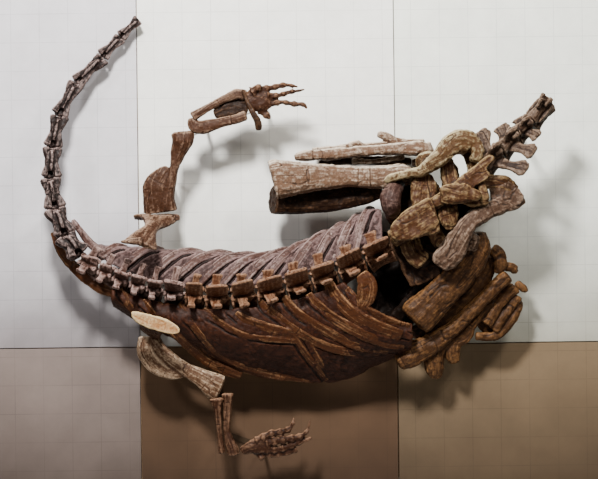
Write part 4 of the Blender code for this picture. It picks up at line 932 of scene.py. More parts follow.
# ----------------------------------------------------------------------------------- the pelvis
# The sacrum joins the hips: fused vertebrae with spines in two plates and ribs out to both hip
# bones. The cream right hip bone arches over it, the left one lies below, and the pubis in front.
HIP_BONE = bone_finish("cream_hip_bone", (0.44, 0.36, 0.21), (0.06, 0.0285, 0.011),
                       Paleness=0.02, Dust=0.8, Streaks=0.4)
LEFT_HIP_BONE = bone_finish("left_hip_bone", (0.26, 0.18, 0.13), (0.05, 0.026, 0.0155),
                            Paleness=0.08, Dust=0.65)
# The pubis lies in the dark hollow behind the hip; its near-black finish is painted shade.
SHADED_PUBIS_BONE = bone_finish("shaded_pubis_bone", (0.022, 0.012, 0.008), (0.006, 0.003, 0.0018),
                         Paleness=0.0, Dust=0.2)
SACRUM_BONE = bone_finish("sacrum_bone", (0.29, 0.195, 0.095), (0.044, 0.017, 0.0066),
                          Paleness=0.02, Dust=0.72)
# Parts that lie further in, in shade, take this near-black finish: painted shade.
SHADED_BONE = bone_finish("painted_shade_bone", (0.1, 0.05, 0.025), (0.012, 0.0045, 0.0018),
                        Paleness=0.02, Dust=0.3)
# Each bone's strokes, as stations of across, up, off, half width and half depth in cm. A name
# such as sacrum.deep is a part of the same bone further in, finished darker as painted shade.
PELVIS = {
    "sacrum": [
        [(30.5, -0.5, 26, 3, 3.2), (37.5, 4, 26, 3.3, 3.4), (45.5, 10, 27, 3.3, 3.4),
         (54.5, 16.5, 27, 3.2, 3.2), (60, 21.5, 27, 2.7, 3)],
        [(31, 1.5, 34, 2.6, 1.3), (34.5, 3.2, 34.5, 4.4, 1.4), (39, 5.6, 34.5, 5.2, 1.4),
         (42.5, 7.4, 34.5, 4.9, 1.3), (44.5, 8.5, 34.5, 3.4, 1.2)],
        [(31, 0.5, 30, 2, 3.2), (37, 5.5, 30, 2, 3.6), (45, 11.5, 30, 2, 3.6), (55, 18, 30, 2, 3.6),
         (59.5, 21.5, 30, 1.6, 3)],
        [(46.5, 14, 34.5, 2, 1.3), (49.5, 14.6, 34.5, 3.1, 1.4), (54, 14.5, 34.5, 3.2, 1.3),
         (59.5, 13.5, 34, 1.3, 1.1)],
        [(51, 15.5, 33, 1.8, 1.6), (55, 19, 33, 2, 1.6), (59.5, 22.5, 33, 1.5, 1.4)],
        [(40.5, 8, 27, 2.7, 1.6), (41.5, 15, 27, 4.3, 1.4), (41.5, 19, 27, 4, 1.2),
         (41.5, 21.5, 27, 2.7, 1.2)],
        [(52, 15, 27, 2.3, 1.6), (50, 20.5, 27, 2.7, 1.3), (49.5, 26, 27, 2, 1.3)],
        [(36, 2.5, 26, 3, 2), (38, -4.5, 26, 3.7, 1.6), (41.5, -8, 26, 2.7, 1.4)],
        [(43, 8, 26, 2.7, 2), (46, 0, 26, 2.7, 1.5), (49, -3.5, 26, 2.3, 1.3)],
        [(50, 13, 28, 1.8, 2), (49.5, 10, 29, 3, 2.2), (49.5, 7.5, 29, 3.3, 2.2),
         (49.5, 5, 29, 2.6, 2), (49.5, 3, 28, 1, 1.6)],
        [(57, 16.5, 27, 2.3, 1.8), (59.5, 10.5, 26, 2.3, 1.4), (61, 8, 26, 1.7, 1.3)],
        [(60, 18, 31, 1.2, 2), (61, 13, 32, 1.3, 1.3), (61, 11, 31, 1, 1.1)],
        [(57.5, 18, 28, 1.8, 1.8), (62.5, 18.2, 28, 2.2, 1.5), (68, 17.6, 28, 2.5, 1.4),
         (72.3, 15.2, 27, 1.9, 1.2)],
    ],
    "ilium_right": [
        [(29, 19, 25, 0.7, 1.6), (31, 20, 25.5, 1.3, 2.6), (37.5, 21.5, 26.5, 1.5, 3.6),
         (40.5, 22, 27, 1.8, 4), (43.5, 24, 27.5, 2.5, 4.4), (47, 26.5, 28.5, 3, 4.6),
         (50, 30, 29, 3.6, 4.6), (53, 31.5, 29.5, 4.1, 4.4), (56, 31.5, 29.5, 3.8, 4.2),
         (58, 30.5, 29.5, 2.8, 3.8), (59, 28, 30, 2, 3.4), (58, 25, 30, 1.6, 3)],
        [(44.5, 26, 26, 2.3, 4), (43, 26, 22, 2.7, 3.5), (42.5, 25, 18, 2.4, 2.8)],
    ],
    "ilium_left": [
        [(75, 12, 25, 1, 1.6), (72.5, 12, 26, 2.7, 2.4), (68, 11, 27, 3, 2.8), (63, 9, 28, 3, 3),
         (59, 7, 28.5, 3, 3.2), (55.5, 4, 29, 3.1, 3.4), (53, 0, 29, 3.6, 3.4),
         (51, -4, 28.5, 4.3, 3.2), (48, -7.5, 28, 4.1, 2.8), (46.5, -9.5, 27.5, 2.7, 2.2)],
        [(55.5, -1, 27, 3, 3.5), (58.5, -2, 22, 3, 3), (59.5, -3, 19, 2.4, 2.4)],
    ],
    "pubis": [
        [(46.5, -11.5, 19, 2.4, 2), (42, -16, 17, 2.2, 1.8), (37, -22, 14, 2, 1.6),
         (33, -27, 11, 2.4, 1.8)],
        [(34, 2, 8, 7, 1), (33, -6, 8, 9, 1), (32.5, -16, 8, 9, 1), (32, -26, 8, 8.5, 1),
         (31, -33, 8.5, 6, 1)],
        [(41, -17, 15, 2, 1.4), (38.5, -19, 8.5, 2.4, 1.2)],
    ],
}
# Each plate's standoff and thickness, then its outline: across and up.
PLATES = {
    "sacrum": [
        (35, 2.4, [(30.2, 0.4), (30.2, 3.1), (33, 6), (36.8, 8.9), (40.1, 11.8), (42.7, 13),
                   (44.3, 11), (45.4, 5.5), (45.8, 1.8), (41.8, 1.1), (37.5, 0.7), (33.6, -0.6)]),
        (35, 2.2, [(46.4, 12.5), (47.1, 15.6), (49.5, 17.5), (52.1, 18.1), (54.4, 16.8),
                   (55.5, 14.9), (57.3, 14), (56.8, 11.8), (51, 11), (47.5, 11.3)]),
        (34.5, 2.2, [(51.4, 17.2), (54.9, 20.4), (60.2, 25.3), (62.8, 26.9), (64.1, 25.5),
                     (61.4, 22.6), (62.7, 20), (60.1, 18.1), (56.1, 15.5), (52.8, 15.2)]),
        (32, 2.6, [(48.1, 13), (51.1, 15), (56.3, 14.6), (59.6, 13.2), (60.6, 11.2), (57.6, 10.2),
                   (53, 11.3), (49.7, 11.1)]),
        (31, 1.6, [(52.3, 7.8), (51.6, 5.6), (49.9, 4.3), (47.9, 4.4), (46.3, 5.7), (45.7, 7.8),
                   (46.3, 10), (48, 11.2), (50, 11.2), (51.7, 9.9)]),
        (25, 2, [(37.5, 18.4), (40.6, 20), (44.5, 19.6), (47.2, 16.9), (47.5, 13.9), (43.8, 14.3),
                 (39.8, 16)]),
    ],
    "ilium_right": [
        (27, 2.6, [(43.7, 22.5), (46.8, 25), (50.1, 28.4), (52.4, 28.7), (55.1, 26.7), (56.2, 23),
                   (57, 20.4), (60, 25.3), (60.7, 29.6), (59.1, 32.6), (55.2, 35), (50.5, 32.4),
                   (45.8, 27.1)]),
        (24, 2.6, [(47.4, 24.3), (49.7, 25.9), (52.7, 24.6), (54, 21.2), (53.3, 17.2), (50.6, 15.9),
                   (48.1, 16.3), (48.8, 20.6)]),
    ],
    "ilium_left": [
        (29, 2.6, [(62.7, 18.8), (66.7, 19.2), (71.3, 17.8), (74.6, 13.5), (73.3, 10.5),
                   (69.9, 12.5), (66.6, 12.9), (63.9, 11.5), (63.3, 15.6)]),
    ],
    "sacrum.deep": [
        (23, 3, [(46, 10.6), (55.4, 13.2), (61.3, 11.1), (57.3, 6.5), (53.2, 2.5), (46.5, 1.3)]),
        (20, 4, [(37.9, 18.5), (46.3, 17.4), (49.6, 14), (48.2, 9.3), (40.8, 6.7), (34, 3.5),
                 (30.7, 5.5), (29.5, 9.6), (34.2, 16.2)]),
    ],
    "ilium_left.deep": [
        (22, 4, [(31, 1.5), (37.2, 2.7), (46, 3.6), (50.3, 0.6), (49.9, -5.5), (51.8, -10.2),
                 (43.7, -14.1), (37.3, -16), (33.8, -8), (31, -3.2)]),
    ],
}


class Slab:
    """A plate of bone with the outline given, across, up and off; its thickness lies behind it."""

    def __init__(self, off, thickness, outline, edge=0.3):
        corners = [Vector((*corner, off)) for corner in outline]
        count = len(corners)
        smooth = []
        for index in range(count):
            around = [corners[(index + step) % count] for step in (-1, 0, 1, 2)]
            smooth += [swing(*around, t) for t in (0.0, 0.5)]
        middle = sum(smooth, Vector()) / len(smooth)
        inner = [point + (middle - point).normalized() * edge for point in smooth]
        back = Vector((0, 0, thickness))
        slope = Vector((0, 0, edge))
        self.rings = [[on_panel(*point) for point in ring] for ring in (
            [point - back for point in inner], [point - back + slope for point in smooth],
            [point - slope for point in smooth], inner)]
        far = max(smooth, key=lambda point: (point - middle).length)
        reach = (far - middle).length
        ahead = (far - middle).normalized()
        shares = np.linspace(-0.8, 0.8, 7)
        self.centres = [on_panel(*(middle + ahead * reach * share)) for share in shares]
        direction = (self.centres[1] - self.centres[0]).normalized()
        self.ahead = [direction] * len(shares)
        self.side = [direction.cross(BACKWARD).normalized()] * len(shares)
        self.rise = [self.side[0].cross(direction)] * len(shares)
        self.reach = [reach * 0.5 * CM] * len(shares)


def fossil_group_of(strokes, slot, finishes, square=0.8, plates=None, **weathering):
    """Makes each bone of a group from its strokes and plates and puts it in its node's place."""
    plates = plates or {}
    for name in list(strokes) + [name for name in plates if name not in strokes]:
        bars = [panel_bar(line, square) for line in strokes.get(name, [])]
        bars += [Slab(*plate) for plate in plates.get(name, [])]
        fossil(f"{name}_fossil", bars, name.partition(".")[0], slot,
               finishes.get(name, finishes["others"]), **weathering)


fossil_group_of(PELVIS, "bone_brown", {
    "others": SACRUM_BONE, "ilium_right": HIP_BONE, "ilium_left": LEFT_HIP_BONE,
    "pubis": SHADED_PUBIS_BONE, "sacrum.deep": SHADED_BONE, "ilium_left.deep": SHADED_BONE,
}, 0.6, PLATES, lumps=2.3, grooves=1.4)

# ------------------------------------------------------------------------- the right front limb
# The right shoulder blade shows its edge beside the backbone, and the arm is raised over the
# neck with its hand toward the tail. The upper arm has a broad crest along its front.
ARM_BONE = bone_finish("right_arm_bone", (0.27, 0.175, 0.12), (0.036, 0.014, 0.0065),
                       Paleness=0, Dust=0.8, Cracks=0.35)
HAND_BONE = bone_finish("hand_bone", (0.21, 0.115, 0.068), (0.024, 0.0082, 0.0034),
                        Paleness=0, Dust=0.8, Cracks=0.35)
RIGHT_FORE = {
    "scapula_right": [
        [(-52, -1, 31, 5.6, 1), (-51, 1.5, 27, 4, 1.4), (-49.5, 4.5, 22, 2.4, 1.6),
         (-48.5, 7, 17, 5, 1.5), (-48.3, 8, 14, 8.2, 1.2), (-48.3, 8.3, 12.5, 7.6, 0.9)],
        [(-58.5, 0, 31, 0.4, 0.7), (-55.5, 0, 31, 1, 1.2), (-51.5, 0, 31, 1.5, 1.5)],
    ],
    "humerus_right": [
        [(-44.5, 10.5, 13, 3.1, 2.6), (-44.5, 15.5, 14, 2.4, 2.4), (-43, 21, 15, 1.9, 2),
         (-42, 25, 15.5, 1.6, 1.8), (-40.5, 30, 16, 2.7, 2), (-39, 34, 17, 3.7, 2.6),
         (-39, 37, 17, 4.1, 2.4)],
        [(-47.5, 10, 13, 5.5, 2.2), (-48, 14.5, 14.5, 4.9, 1.6), (-48, 19, 15.5, 4.6, 1.3),
         (-46, 22.5, 15.5, 2.9, 1.2), (-44, 25, 15.5, 1.4, 1)],
    ],
    "radius_right": [
        [(-35.5, 41.8, 18, 1.8, 1.5), (-32.9, 43.3, 18, 1.4, 1.3), (-28.8, 45.7, 18, 1.3, 1.3),
         (-24.1, 48, 18, 1.5, 1.4), (-20, 49.4, 18, 1.8, 1.6), (-17.3, 48.8, 18, 1.8, 1.5)],
    ],
    "ulna_right": [
        [(-35.8, 41.6, 17, 1.5, 1.5), (-35.1, 39.2, 17, 2.3, 1.6), (-33, 38.3, 17.3, 2.4, 1.6),
         (-29.6, 38.9, 17.6, 2.2, 1.5), (-25.5, 39.9, 18, 1.8, 1.4), (-21.4, 40.7, 18.5, 1.6, 1.4),
         (-17.1, 42.1, 18, 1.8, 1.6)],
    ],
    "ulna_right.deep": [
        [(-28.2, 42.6, 17, 1.6, 0.8), (-25.5, 43.6, 17, 2.8, 0.8), (-20.4, 45, 17, 3.4, 0.8),
         (-16.7, 45.5, 17, 2.8, 0.8)],
    ],
    "hand_right": [
        [(-16.7, 46, 18, 3.2, 1.8), (-13.9, 47.3, 18, 4.2, 1.8), (-11.3, 46.6, 18, 3.9, 1.8),
         (-9.4, 44.6, 17.5, 2.4, 1.4)],
        [(-15.2, 49.9, 19, 1.8, 1.4), (-13.3, 51.3, 19.5, 1.3, 1.5), (-13.2, 52.3, 19.5, 0.8, 0.9)],
        [(-13.2, 50.6, 18.5, 1.5, 1.5), (-8.5, 51.4, 18, 1, 1.3), (-3.8, 52.2, 18, 0.8, 1.1),
         (0.3, 51.6, 17.5, 0.3, 0.6)],
        [(-10.2, 48.7, 18.5, 1.3, 1.4), (-6.2, 48.7, 18, 0.9, 1.2), (-3.1, 49.7, 18, 0.9, 1.1),
         (2.6, 50.7, 18, 0.3, 0.6)],
        [(-9.6, 45.8, 18, 1.2, 1.4), (-4.8, 46.5, 18, 0.9, 1.3), (-1.1, 45.8, 18, 0.9, 1.1),
         (1.9, 45.6, 18, 0.7, 0.9), (3.2, 44.3, 18, 0.3, 0.5)],
        [(-12.7, 43.9, 17.5, 1.5, 1.2), (-10.1, 41.8, 17.5, 1.1, 1.1),
         (-9.4, 40.9, 17.5, 0.6, 0.8)],
    ],
    "hand_right.deep": [
        [(-18.4, 50.5, 20.5, 0.6, 0.9), (-16.6, 46.1, 20.5, 0.7, 1), (-14.5, 42, 20.5, 1.1, 1.2),
         (-13.3, 39.4, 20, 1.3, 1.3), (-13.2, 36.9, 19.5, 1, 1.1)],
    ],
}
KNUCKLE_GAP = 2.9           # cm from one knuckle of a finger to the next


def knuckled(line):
    """The same finger, with a knuckle every few centimetres."""
    rows = ease(line)
    gone = 0
    swollen = []
    for here, there in zip(rows, rows[1:] + rows[-1:]):
        swell = 0.80 + 0.38 * abs(math.cos(math.pi * gone / KNUCKLE_GAP)) ** 3
        swollen.append((*here[:3], *(here[3:] * swell)))
        gone += np.linalg.norm((there - here)[:3])
    return swollen


def with_knuckles(hand):
    """A hand's strokes: the first is its palm and the others are fingers."""
    return [hand[0]] + [knuckled(line) for line in hand[1:]]


RIGHT_FORE["hand_right"] = with_knuckles(RIGHT_FORE["hand_right"])
fossil_group_of(RIGHT_FORE, "bone_brown", {
    "others": ARM_BONE, "hand_right": HAND_BONE, "ulna_right.deep": SHADED_BONE,
    "hand_right.deep": SHADED_BONE,
})

# -------------------------------------------------------------------------- the left front limb
# The left shoulder blade lies flat on the ribs with a cream rim of filler round its orange face.
# The arm hangs below the chest and the hand points to the tail.
LEFT_ARM_BONE = bone_finish("left_arm_bone", (0.48, 0.35, 0.235), (0.068, 0.032, 0.016),
                            Paleness=0.12, Dust=0.75, Cracks=0.35)
BLADE_BONE = bone_finish("left_blade_bone", (0.5, 0.36, 0.19), (0.25, 0.11, 0.04), Paleness=0.3,
                         Dust=0.4, Ridges=0.7, Streaks=0.2, Cracks=0.1, Hollows=0.3)
LEFT_FORE = {
    "scapula_left.deep": [
        [(-47.5, -26.8, 28.5, 4.6, 1), (-48.5, -28, 25, 4, 1.2), (-50, -29.5, 20, 3.8, 1.4),
         (-51, -31, 15, 4, 1.5)],
    ],
    "humerus_left": [
        [(-51, -32.5, 13, 3.1, 2.4), (-48.5, -36.5, 13.5, 2.7, 2.4), (-44.5, -40, 14, 2.4, 2.1),
         (-39.5, -43.5, 14.5, 2.4, 2), (-34, -46.5, 15, 3.2, 2.2), (-30, -49, 15, 4.4, 2.6),
         (-27, -50.5, 15, 4.6, 2.4)],
        [(-52, -32.5, 13.5, 3.1, 2), (-52, -37.5, 14.5, 3.6, 1.5), (-49, -42, 15, 3.2, 1.3),
         (-44.5, -45, 15, 1.9, 1.2), (-40, -45.5, 14.5, 1.2, 1)],
    ],
    "radius_left": [
        [(-25, -52, 15, 2.2, 1.8), (-25, -55.5, 15, 1.6, 1.4), (-25.4, -62.5, 15, 1.2, 1.1),
         (-24.8, -67, 15, 1.4, 1.2), (-23.3, -71.5, 15, 2.2, 1.6), (-23, -73.2, 15, 1.8, 1.6)],
    ],
    "ulna_left": [
        [(-28.6, -53.5, 16, 2.5, 2), (-28.3, -57.5, 16, 1.4, 1.5), (-27.8, -64.5, 15.5, 0.9, 1),
         (-27.4, -69, 15, 1.1, 1.2), (-27, -72.5, 15, 1.3, 1.2)],
    ],
    "hand_left": [
        [(-20.5, -72, 14, 1.4, 1.3), (-17.5, -70.5, 14.5, 2.2, 1.6), (-14, -70, 14.5, 2.9, 1.7),
         (-10.5, -70, 14.5, 2.7, 1.5)],
        [(-15.5, -68, 15, 1.2, 1.3), (-10.5, -66, 15, 1.4, 1.3), (-5.5, -65, 15, 1.2, 1.2),
         (-3, -63, 15, 0.7, 0.9), (-2.5, -60.5, 15, 0.3, 0.4)],
        [(-12, -69, 15, 1.4, 1.3), (-6, -68, 15, 1.3, 1.3), (-0.5, -67, 15, 1.1, 1.1),
         (2, -65, 15, 0.7, 0.9), (3, -61.5, 15, 0.3, 0.4)],
        [(-12, -71.5, 14.5, 1.4, 1.3), (-6.5, -71, 14.5, 1.2, 1.2), (-1, -69, 14.5, 1, 1.1),
         (3.5, -67.5, 14.5, 0.6, 0.8)],
        [(-13.5, -72.5, 14, 1.4, 1.2), (-8, -73, 14, 1.1, 1.1), (-1.5, -71.5, 14, 1, 1)],
        [(-15.5, -72, 14, 1.2, 1.2), (-13, -74.5, 14, 1.1, 1.2)],
    ],
}
LEFT_PLATES = {
    "scapula_left": [
        (30.5, 1.2, [(-55.6, -23.5), (-54, -23.2), (-48.5, -24.4), (-43.5, -26), (-40.2, -28.2),
                     (-39.6, -29.9), (-41, -30.7), (-45.2, -30.1), (-50.5, -28.4), (-54.3, -26.2)]),
    ],
}
LEFT_FORE["hand_left"] = with_knuckles(LEFT_FORE["hand_left"])
fossil_group_of(LEFT_FORE, "bone_pale", {
    "others": HAND_BONE, "humerus_left": LEFT_ARM_BONE, "scapula_left": BLADE_BONE,
}, 0.7, LEFT_PLATES)

# -------------------------------------------------------------------------- the right hind limb
# The right thigh bone lies along the flank, pale on its upper side with dust and painted
# highlight, with the shin folded behind it and the foot beside the hip.
THIGH_BONE = bone_finish("right_leg_bone", (0.56, 0.46, 0.36), (0.1, 0.054, 0.032),
                         Paleness=0, Dust=0.95, Streaks=0.4)
HEAD_BONE = bone_finish("thigh_head_bone", (0.17, 0.105, 0.085), (0.030, 0.0135, 0.0105),
                        Paleness=0, Dust=0.5)
RIGHT_HIND = {
    "femur_right": [
        [(-8.6, 20.2, 20, 6.4, 4), (-7.4, 20.4, 20, 6.9, 4.8), (-3, 20.5, 20, 6.1, 4.4),
         (5.5, 21, 19, 4.7, 3.6), (17, 21, 18.5, 3.7, 3), (28, 20.5, 19, 4, 3.2),
         (35, 21, 20, 4, 3.6), (38.5, 21.5, 20, 2.4, 2.6)],
    ],
    "femur_right.head": [
        [(33.5, 18, 22, 2.3, 2.6), (31.5, 15.5, 26, 3, 3), (30.5, 12.5, 28, 3.6, 3.4),
         (31, 10, 27, 3.2, 3), (32, 8.5, 25, 2, 2.2)],
        [(31, 9, 23, 2.3, 2), (31, 6.5, 22, 1.8, 1.6)],
    ],
    "femur_right.deep": [
        [(-8.8, 13.6, 17, 4.8, 3.6), (-5, 13.2, 15, 4.8, 3.6), (0.5, 13.2, 13, 4.6, 3.4),
         (9, 13.6, 12.5, 4.4, 3.2), (16.5, 14.2, 12.5, 4.2, 3), (23, 15.4, 13.5, 3.6, 2.6),
         (28.5, 16.5, 15, 2.6, 2.2)],
    ],
    "tibia_right": [
        [(-1, 28, 12, 1, 2), (1.5, 28.5, 12.5, 1.7, 2.6), (11, 29, 13, 2, 2.4),
         (24.5, 30, 13, 1.8, 2.2), (35, 30.5, 13, 2.1, 2.4), (41, 30.5, 13, 2.9, 3),
         (45, 29.5, 12.5, 2.2, 2.4)],
    ],
    "fibula_right": [
        [(18.5, 26.5, 10, 1.2, 1.5), (24, 26.5, 10, 1, 1.2), (31, 27, 10, 1, 1.2),
         (36.5, 28, 10, 1.1, 1.4)],
    ],
    "foot_right": [
        [(5, 31, 6, 0.7, 1.2), (16.5, 31.5, 7, 1.2, 1.6), (28.5, 32, 7.5, 1.4, 1.8),
         (38, 32.5, 8, 1.7, 2), (43.5, 32.5, 8, 1.7, 2)],
        [(44, 32.5, 8, 1.7, 2.2), (45.5, 29, 8, 1.7, 2.2), (43.5, 26.5, 8.5, 2.1, 2.2),
         (39, 26, 8.5, 1.4, 1.6)],
        [(27.5, 36, 8, 1.1, 1.4), (30.5, 35, 8, 1.5, 1.6), (34, 33.5, 8, 1.4, 1.4),
         (36.5, 33, 8, 1.4, 1.4)],
        [(17.5, 32, 8, 1, 1.2), (20.5, 33, 8, 0.8, 1), (22, 32.5, 8, 0.6, 0.8)],
    ],
    "foot_right.deep": [
        [(7, 26.4, 9, 0.8, 1), (13, 26.9, 9, 1.4, 1.4), (22, 27, 9, 1.5, 1.5),
         (31, 26.6, 9, 1.7, 1.5), (39, 26.4, 9, 1.3, 1.3)],
    ],
}
fossil_group_of(RIGHT_HIND, "bone_pale", {
    "others": THIGH_BONE, "femur_right.deep": SHADED_BONE, "femur_right.head": HEAD_BONE,
    "foot_right.deep": SHADED_BONE,
}, lumps=1.7)

# --------------------------------------------------------------------------- the left hind limb
# The left leg is folded under the tail: dark brown thigh and shin side by side, and a foot that
# is turned back on itself below them.
DARK_BONE = bone_finish("left_leg_bone", (0.2, 0.094, 0.034), (0.036, 0.015, 0.0056),
                        Paleness=0.06, Dust=0.5)
LEFT_HIND = {
    "femur_left": [
        [(38.2, -28, 18.5, 5.2, 3), (39.6, -26.6, 18.5, 6.4, 3.8), (44, -22.5, 19, 5.9, 3.6),
         (49, -17.3, 20, 5.5, 3.4), (53.5, -12.3, 21, 5.5, 3.4), (57.5, -7, 22, 5.4, 3.6),
         (60, -2.5, 22.5, 4.4, 3.4), (60, 1.8, 22.5, 2.3, 2.6)],
    ],
    "tibia_left": [
        [(33.2, -42.5, 15, 2.8, 2.2), (37.3, -40, 14.5, 4.3, 3), (43.6, -36.7, 14, 3.9, 3),
         (51, -32, 14, 2.8, 2.6), (58.4, -25, 14.5, 2.5, 2.4), (65.8, -17.7, 15, 2.4, 2.4),
         (70.9, -12.9, 15.5, 2.4, 2.6)],
    ],
    "fibula_left": [
        [(42.1, -32, 12, 2.8, 1.8), (50.2, -25.6, 12, 3.5, 2), (57, -19.7, 12.5, 3.5, 2),
         (62.7, -12.9, 13, 3.4, 2), (65.2, -6.6, 14, 2.6, 1.8)],
    ],
    "foot_left": [
        [(58.7, -30.5, 12, 1.7, 1.6), (62.1, -26, 12, 1.6, 1.4), (67.3, -19.8, 12, 1.6, 1.4),
         (71.7, -15.6, 12, 1.9, 1.7)],
        [(63.7, -30, 12.5, 2, 1.8), (68.4, -22.6, 12.5, 1.8, 1.5), (73.6, -17, 12.5, 2.3, 1.8)],
        [(66.1, -31.8, 11.5, 1.9, 1.6), (70.8, -25.6, 11.5, 1.7, 1.4),
         (74.5, -20.2, 11.5, 2.2, 1.7)],
        [(60.2, -33.9, 10.5, 1.5, 1.4), (66.2, -34, 10.5, 1.6, 1.5), (70.3, -31.3, 10.5, 1.7, 1.5),
         (73.7, -26.2, 10.5, 1.8, 1.5), (75.2, -21.9, 10.5, 1.6, 1.4)],
        [(74.3, -15.6, 11.5, 1, 1), (76.3, -17.4, 11.5, 1.3, 1.2), (78, -18.9, 11.5, 0.8, 0.8)],
        [(65.3, -3.8, 16, 2.1, 2), (67.5, -6.1, 16.5, 2.5, 2.2), (68.1, -9.2, 16, 2.3, 2),
         (67.3, -12, 15, 1.7, 1.8)],
        [(69.3, -9.8, 15, 1.5, 1.6), (72.8, -10.8, 14.5, 1.5, 1.5), (73.4, -12.4, 14, 1, 1.2)],
        [(58.1, -29.9, 12, 2.1, 1.6), (56.1, -33.9, 12, 2.5, 1.8), (51.2, -35.8, 12, 2.5, 1.8),
         (47.8, -35.5, 12, 2.8, 1.9)],
        [(47.8, -35.2, 12, 3, 1.9), (45.7, -40, 12, 3.5, 2.2), (46, -45.2, 11.5, 3.2, 2.2),
         (46.9, -48.1, 11, 1.7, 1.4)],
        [(52.9, -35, 12, 2.3, 1.6), (52, -39.6, 12, 2.6, 1.8), (52.9, -43, 11.5, 1.8, 1.4)],
    ],
    "femur_left.deep": [
        [(36.5, -32, 12, 1.5, 1.4), (39.5, -32, 12, 2.4, 1.6), (43, -30, 12, 2, 1.6)],
    ],
    "foot_left.deep": [
        [(60.5, -27.5, 8.5, 1.6, 1.4), (64, -30.5, 8.5, 2.6, 1.6), (68, -31.5, 8.5, 2, 1.4)],
    ],
}
fossil_group_of(LEFT_HIND, "bone_brown", {"others": DARK_BONE, "femur_left.deep": SHADED_BONE},
                lumps=1.8)

# ---------------------------------------------------------------------------------- the armature
# A welded run of flat steel, painted like the boards, is fixed to them behind the bones; below
# the seam of the rows it is near black, the boards' painted shade. Round dark rods stand on it,
# each on a foot flange, and reach up to the back of the bone they hold.
STRAP_HALF = 1.1            # cm
STRAP_RISE = 0.22
STRAP_STEP = 0.02           # each strap is this much slimmer and stands this much prouder
STRAP_STANDOFF = 0.04
VIEWING_DISTANCE = 520.0    # cm from the boards
ROD_HALF = 0.0055
ROD_SIDES = 16
ROD_STANDOFF = 0.15
ROD_SINK = 0.012            # metres that a rod's end stays clear of the middle of its bone
FLANGE_HALF = 0.013
# Each strap's route: across, up and off in cm, and 1 where a rod stands.
STRAP_ROUTES = [
    [(-61, 71, 4.5, 1), (-76, 55, 7, 1), (-81.5, 43.5, 10, 0), (-83.5, 32.5, 13, 1),
     (-82, 11.5, 18, 1), (-73, -5, 20, 0), (-62, -10, 21, 1)],
    [(-62, -10, 21, 0), (-45, -15, 21, 0), (-24, -17, 21, 1), (-5, -14, 21, 0), (12, -8, 21, 1),
     (45, 11, 25, 1), (61, 23, 24, 0), (74, 35, 23, 1)],
    [(-47, -15, 21, 0), (-48, 9, 14, 0), (-43, 21, 14.5, 1), (-39, 35, 16, 0), (-31, 39, 16.5, 1),
     (-11, 46, 17, 1)],
    [(-47, -15, 21, 0), (-51, -30, 16, 0), (-48, -37, 13, 1), (-28, -49, 14, 0),
     (-25, -66, 14.5, 1), (-13, -70.5, 14, 1)],
    [(29, 2, 21, 0), (30, 20, 18, 1), (5, 20, 18, 1)],
    [(28, 18, 18, 0), (30, 30, 12.5, 1)],
    [(43, 10, 24, 0), (52, -12, 20, 1), (52, -30, 14, 1), (68, -25, 11, 1)],
    [(53, -29, 13, 0), (47, -43, 11.5, 1)],
    [(-6, -13, 21, 0), (-2, -38, 18, 1)],
    [(-25, -18, 21, 0), (-28, -8, 15, 1)],
]


def painted_steel():
    material, tree, shader = new_material("painted_strap", 0.8, Specular_IOR_Level=0.1)
    place = add(tree, "TexCoord").outputs["Object"]
    # Near black below the seam between the rows of boards: painted shade, as on the lower boards.
    level = fade(tree, add(tree, "SeparateXYZ", {0: place}).outputs["Z"], -0.35, -0.33)
    chips = fade(tree, noise(tree, place, 60, 5, 0.7), 0.66, 0.70)
    mottle = fade(tree, noise(tree, place, 8), 0.3, 0.7)
    tone = blend(tree, mottle, (0.50, 0.47, 0.45), (0.66, 0.64, 0.61))
    tone = blend(tree, level, (0.030, 0.018, 0.010), tone)
    tone = blend(tree, chips, tone, (0.06, 0.05, 0.045))
    tree.links.new(tone, shader.inputs["Base Color"])
    raise_bump(tree, shader, noise(tree, place, 300, 3), 0.0005, 0.5)
    return material


def bare_steel():
    material, tree, shader = new_material("dark_steel_rod", 0.4, Metallic=0.9)
    mottle = noise(tree, add(tree, "TexCoord").outputs["Object"], 45, 5, 0.7)
    tone = blend(tree, fade(tree, mottle, 0.35, 0.7), (0.020, 0.020, 0.024), (0.09, 0.075, 0.065))
    tree.links.new(tone, shader.inputs["Base Color"])
    tree.links.new(fade(tree, mottle, 0.3, 0.7, 0.35, 0.6), shader.inputs["Roughness"])
    raise_bump(tree, shader, mottle, 0.0004, 0.4)
    return material


def behind(across, up, off):
    """Where a sight line through a bone meets the boards."""
    spread = VIEWING_DISTANCE / (VIEWING_DISTANCE - off)
    return across * spread, up * spread


straps = []
for count, route in enumerate(STRAP_ROUTES):
    rise = (STRAP_RISE + STRAP_STEP * count) * CM
    centres = [on_panel(*behind(across, up, off), STRAP_STANDOFF) + OUTWARD * rise
               for across, up, off, _ in route]
    last = len(centres) - 1
    wide = [(centres[min(index + 1, last)] - centres[max(index - 1, 0)]).cross(BACKWARD)
            for index in range(len(centres))]
    corner = math.sqrt(2)
    half = (STRAP_HALF - STRAP_STEP * count) * CM * corner
    straps.append(Bar(centres, [half] * len(centres), [rise * corner] * len(centres), wide, 4,
                      bevel=False))
strap = grow("painted_straps", straps)
apply_modifier(strap, "BEVEL", width=0.0006, segments=2)
strap.data.materials.append(painted_steel())
strap.data.shade_flat()
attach(strap, "root")
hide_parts("armature")

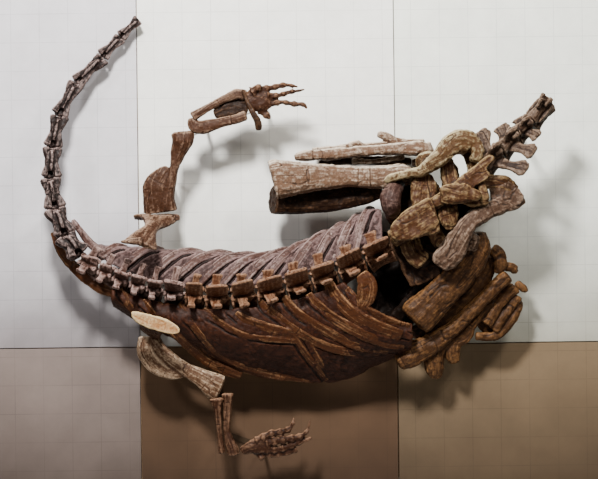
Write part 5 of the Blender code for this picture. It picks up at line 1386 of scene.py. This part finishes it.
rods = []
for route in STRAP_ROUTES:
    for across, up, off, stands in route:
        if not stands:
            continue
        foot = on_panel(*behind(across, up, off), ROD_STANDOFF)
        top = on_panel(across, up, off)
        heading = (top - foot).normalized()
        centres = [foot + heading * gone for gone in (0, 0.004, 0.005, 0.010)]
        centres.append(top - heading * ROD_SINK)
        sizes = [FLANGE_HALF, FLANGE_HALF, ROD_HALF * 1.5, ROD_HALF, ROD_HALF]
        rods.append(Bar(centres, sizes, sizes, [Vector((1, 0, 0))] * 5, ROD_SIDES, bevel=False))
rod = grow("steel_rods", rods)
rod.data.materials.append(bare_steel())
rod.data.shade_smooth()
rod.data.set_sharp_from_angle(angle=math.radians(35))
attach(rod, "root")
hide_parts("armature")

# ----------------------------------------------------------------------- floor, lights and camera
# The panel hangs with its middle about at eye height above a plain pale floor. Its main light
# comes from the upper left, with weak lamps to both sides and one behind, and the camera faces it.
FLOOR_LEVEL = -1.6
FLOOR_SIZE = 14
SENSOR_WIDTH = 36
FOCAL_RATIO = 1486 / 598    # how far off the camera stands against the width that it sees
CAMERA_ROLL = math.radians(0.7)
bpy.ops.object.select_all(action="DESELECT")
bpy.ops.mesh.primitive_plane_add(size=FLOOR_SIZE, location=(0, 0, FLOOR_LEVEL))
floor = bpy.context.object
floor.name = "floor"
floor_finish, floor_tree, floor_shader = new_material("floor", 0.8)
floor_shader.inputs["Base Color"].default_value = (0.50, 0.49, 0.47, 1)
floor.data.materials.append(floor_finish)


def soft_light(name, place, target, size, watts, colour):
    light = bpy.data.lights.new(name, "AREA")
    light.shape = "DISK"
    light.size = size
    light.energy = watts
    light.color = colour
    lamp = bpy.data.objects.new(name, light)
    lamp.location = place
    lamp.rotation_euler = (Vector(target) - Vector(place)).to_track_quat("-Z", "Y").to_euler()
    bpy.context.scene.collection.objects.link(lamp)


soft_light("key", (-0.6, -2.6, 2.05), (0, 0, 0.3), 0.5, 290, (1.0, 0.985, 0.95))
soft_light("left", (-2.2, -2.4, 1.6), (-0.6, 0, 0.1), 0.5, 34, (1.0, 0.98, 0.98))
soft_light("right", (1.6, -2.3, 2.1), (0.6, 0, 0.3), 0.6, 78, (1.0, 0.97, 0.90))
soft_light("back", (1.8, 2.8, 1.6), (0, 0, 0), 0.8, 60, (1.0, 0.98, 0.95))
world = bpy.data.worlds.new("studio")
world.use_nodes = True
background = world.node_tree.nodes["Background"].inputs
background["Color"].default_value = (1.0, 0.97, 0.93, 1)
background["Strength"].default_value = 0.05
bpy.context.scene.world = world

camera = bpy.data.objects.new("camera", bpy.data.cameras.new("camera"))
camera.data.sensor_width = SENSOR_WIDTH
camera.data.lens = FOCAL_RATIO * SENSOR_WIDTH
camera.location = (0, BOARD_FACE - VIEWING_DISTANCE * CM, 0)
level_view = Matrix.Rotation(math.radians(90), 4, "X")
camera.rotation_euler = (Matrix.Rotation(CAMERA_ROLL, 4, "Y") @ level_view).to_euler()
bpy.context.scene.collection.objects.link(camera)
bpy.context.scene.camera = camera
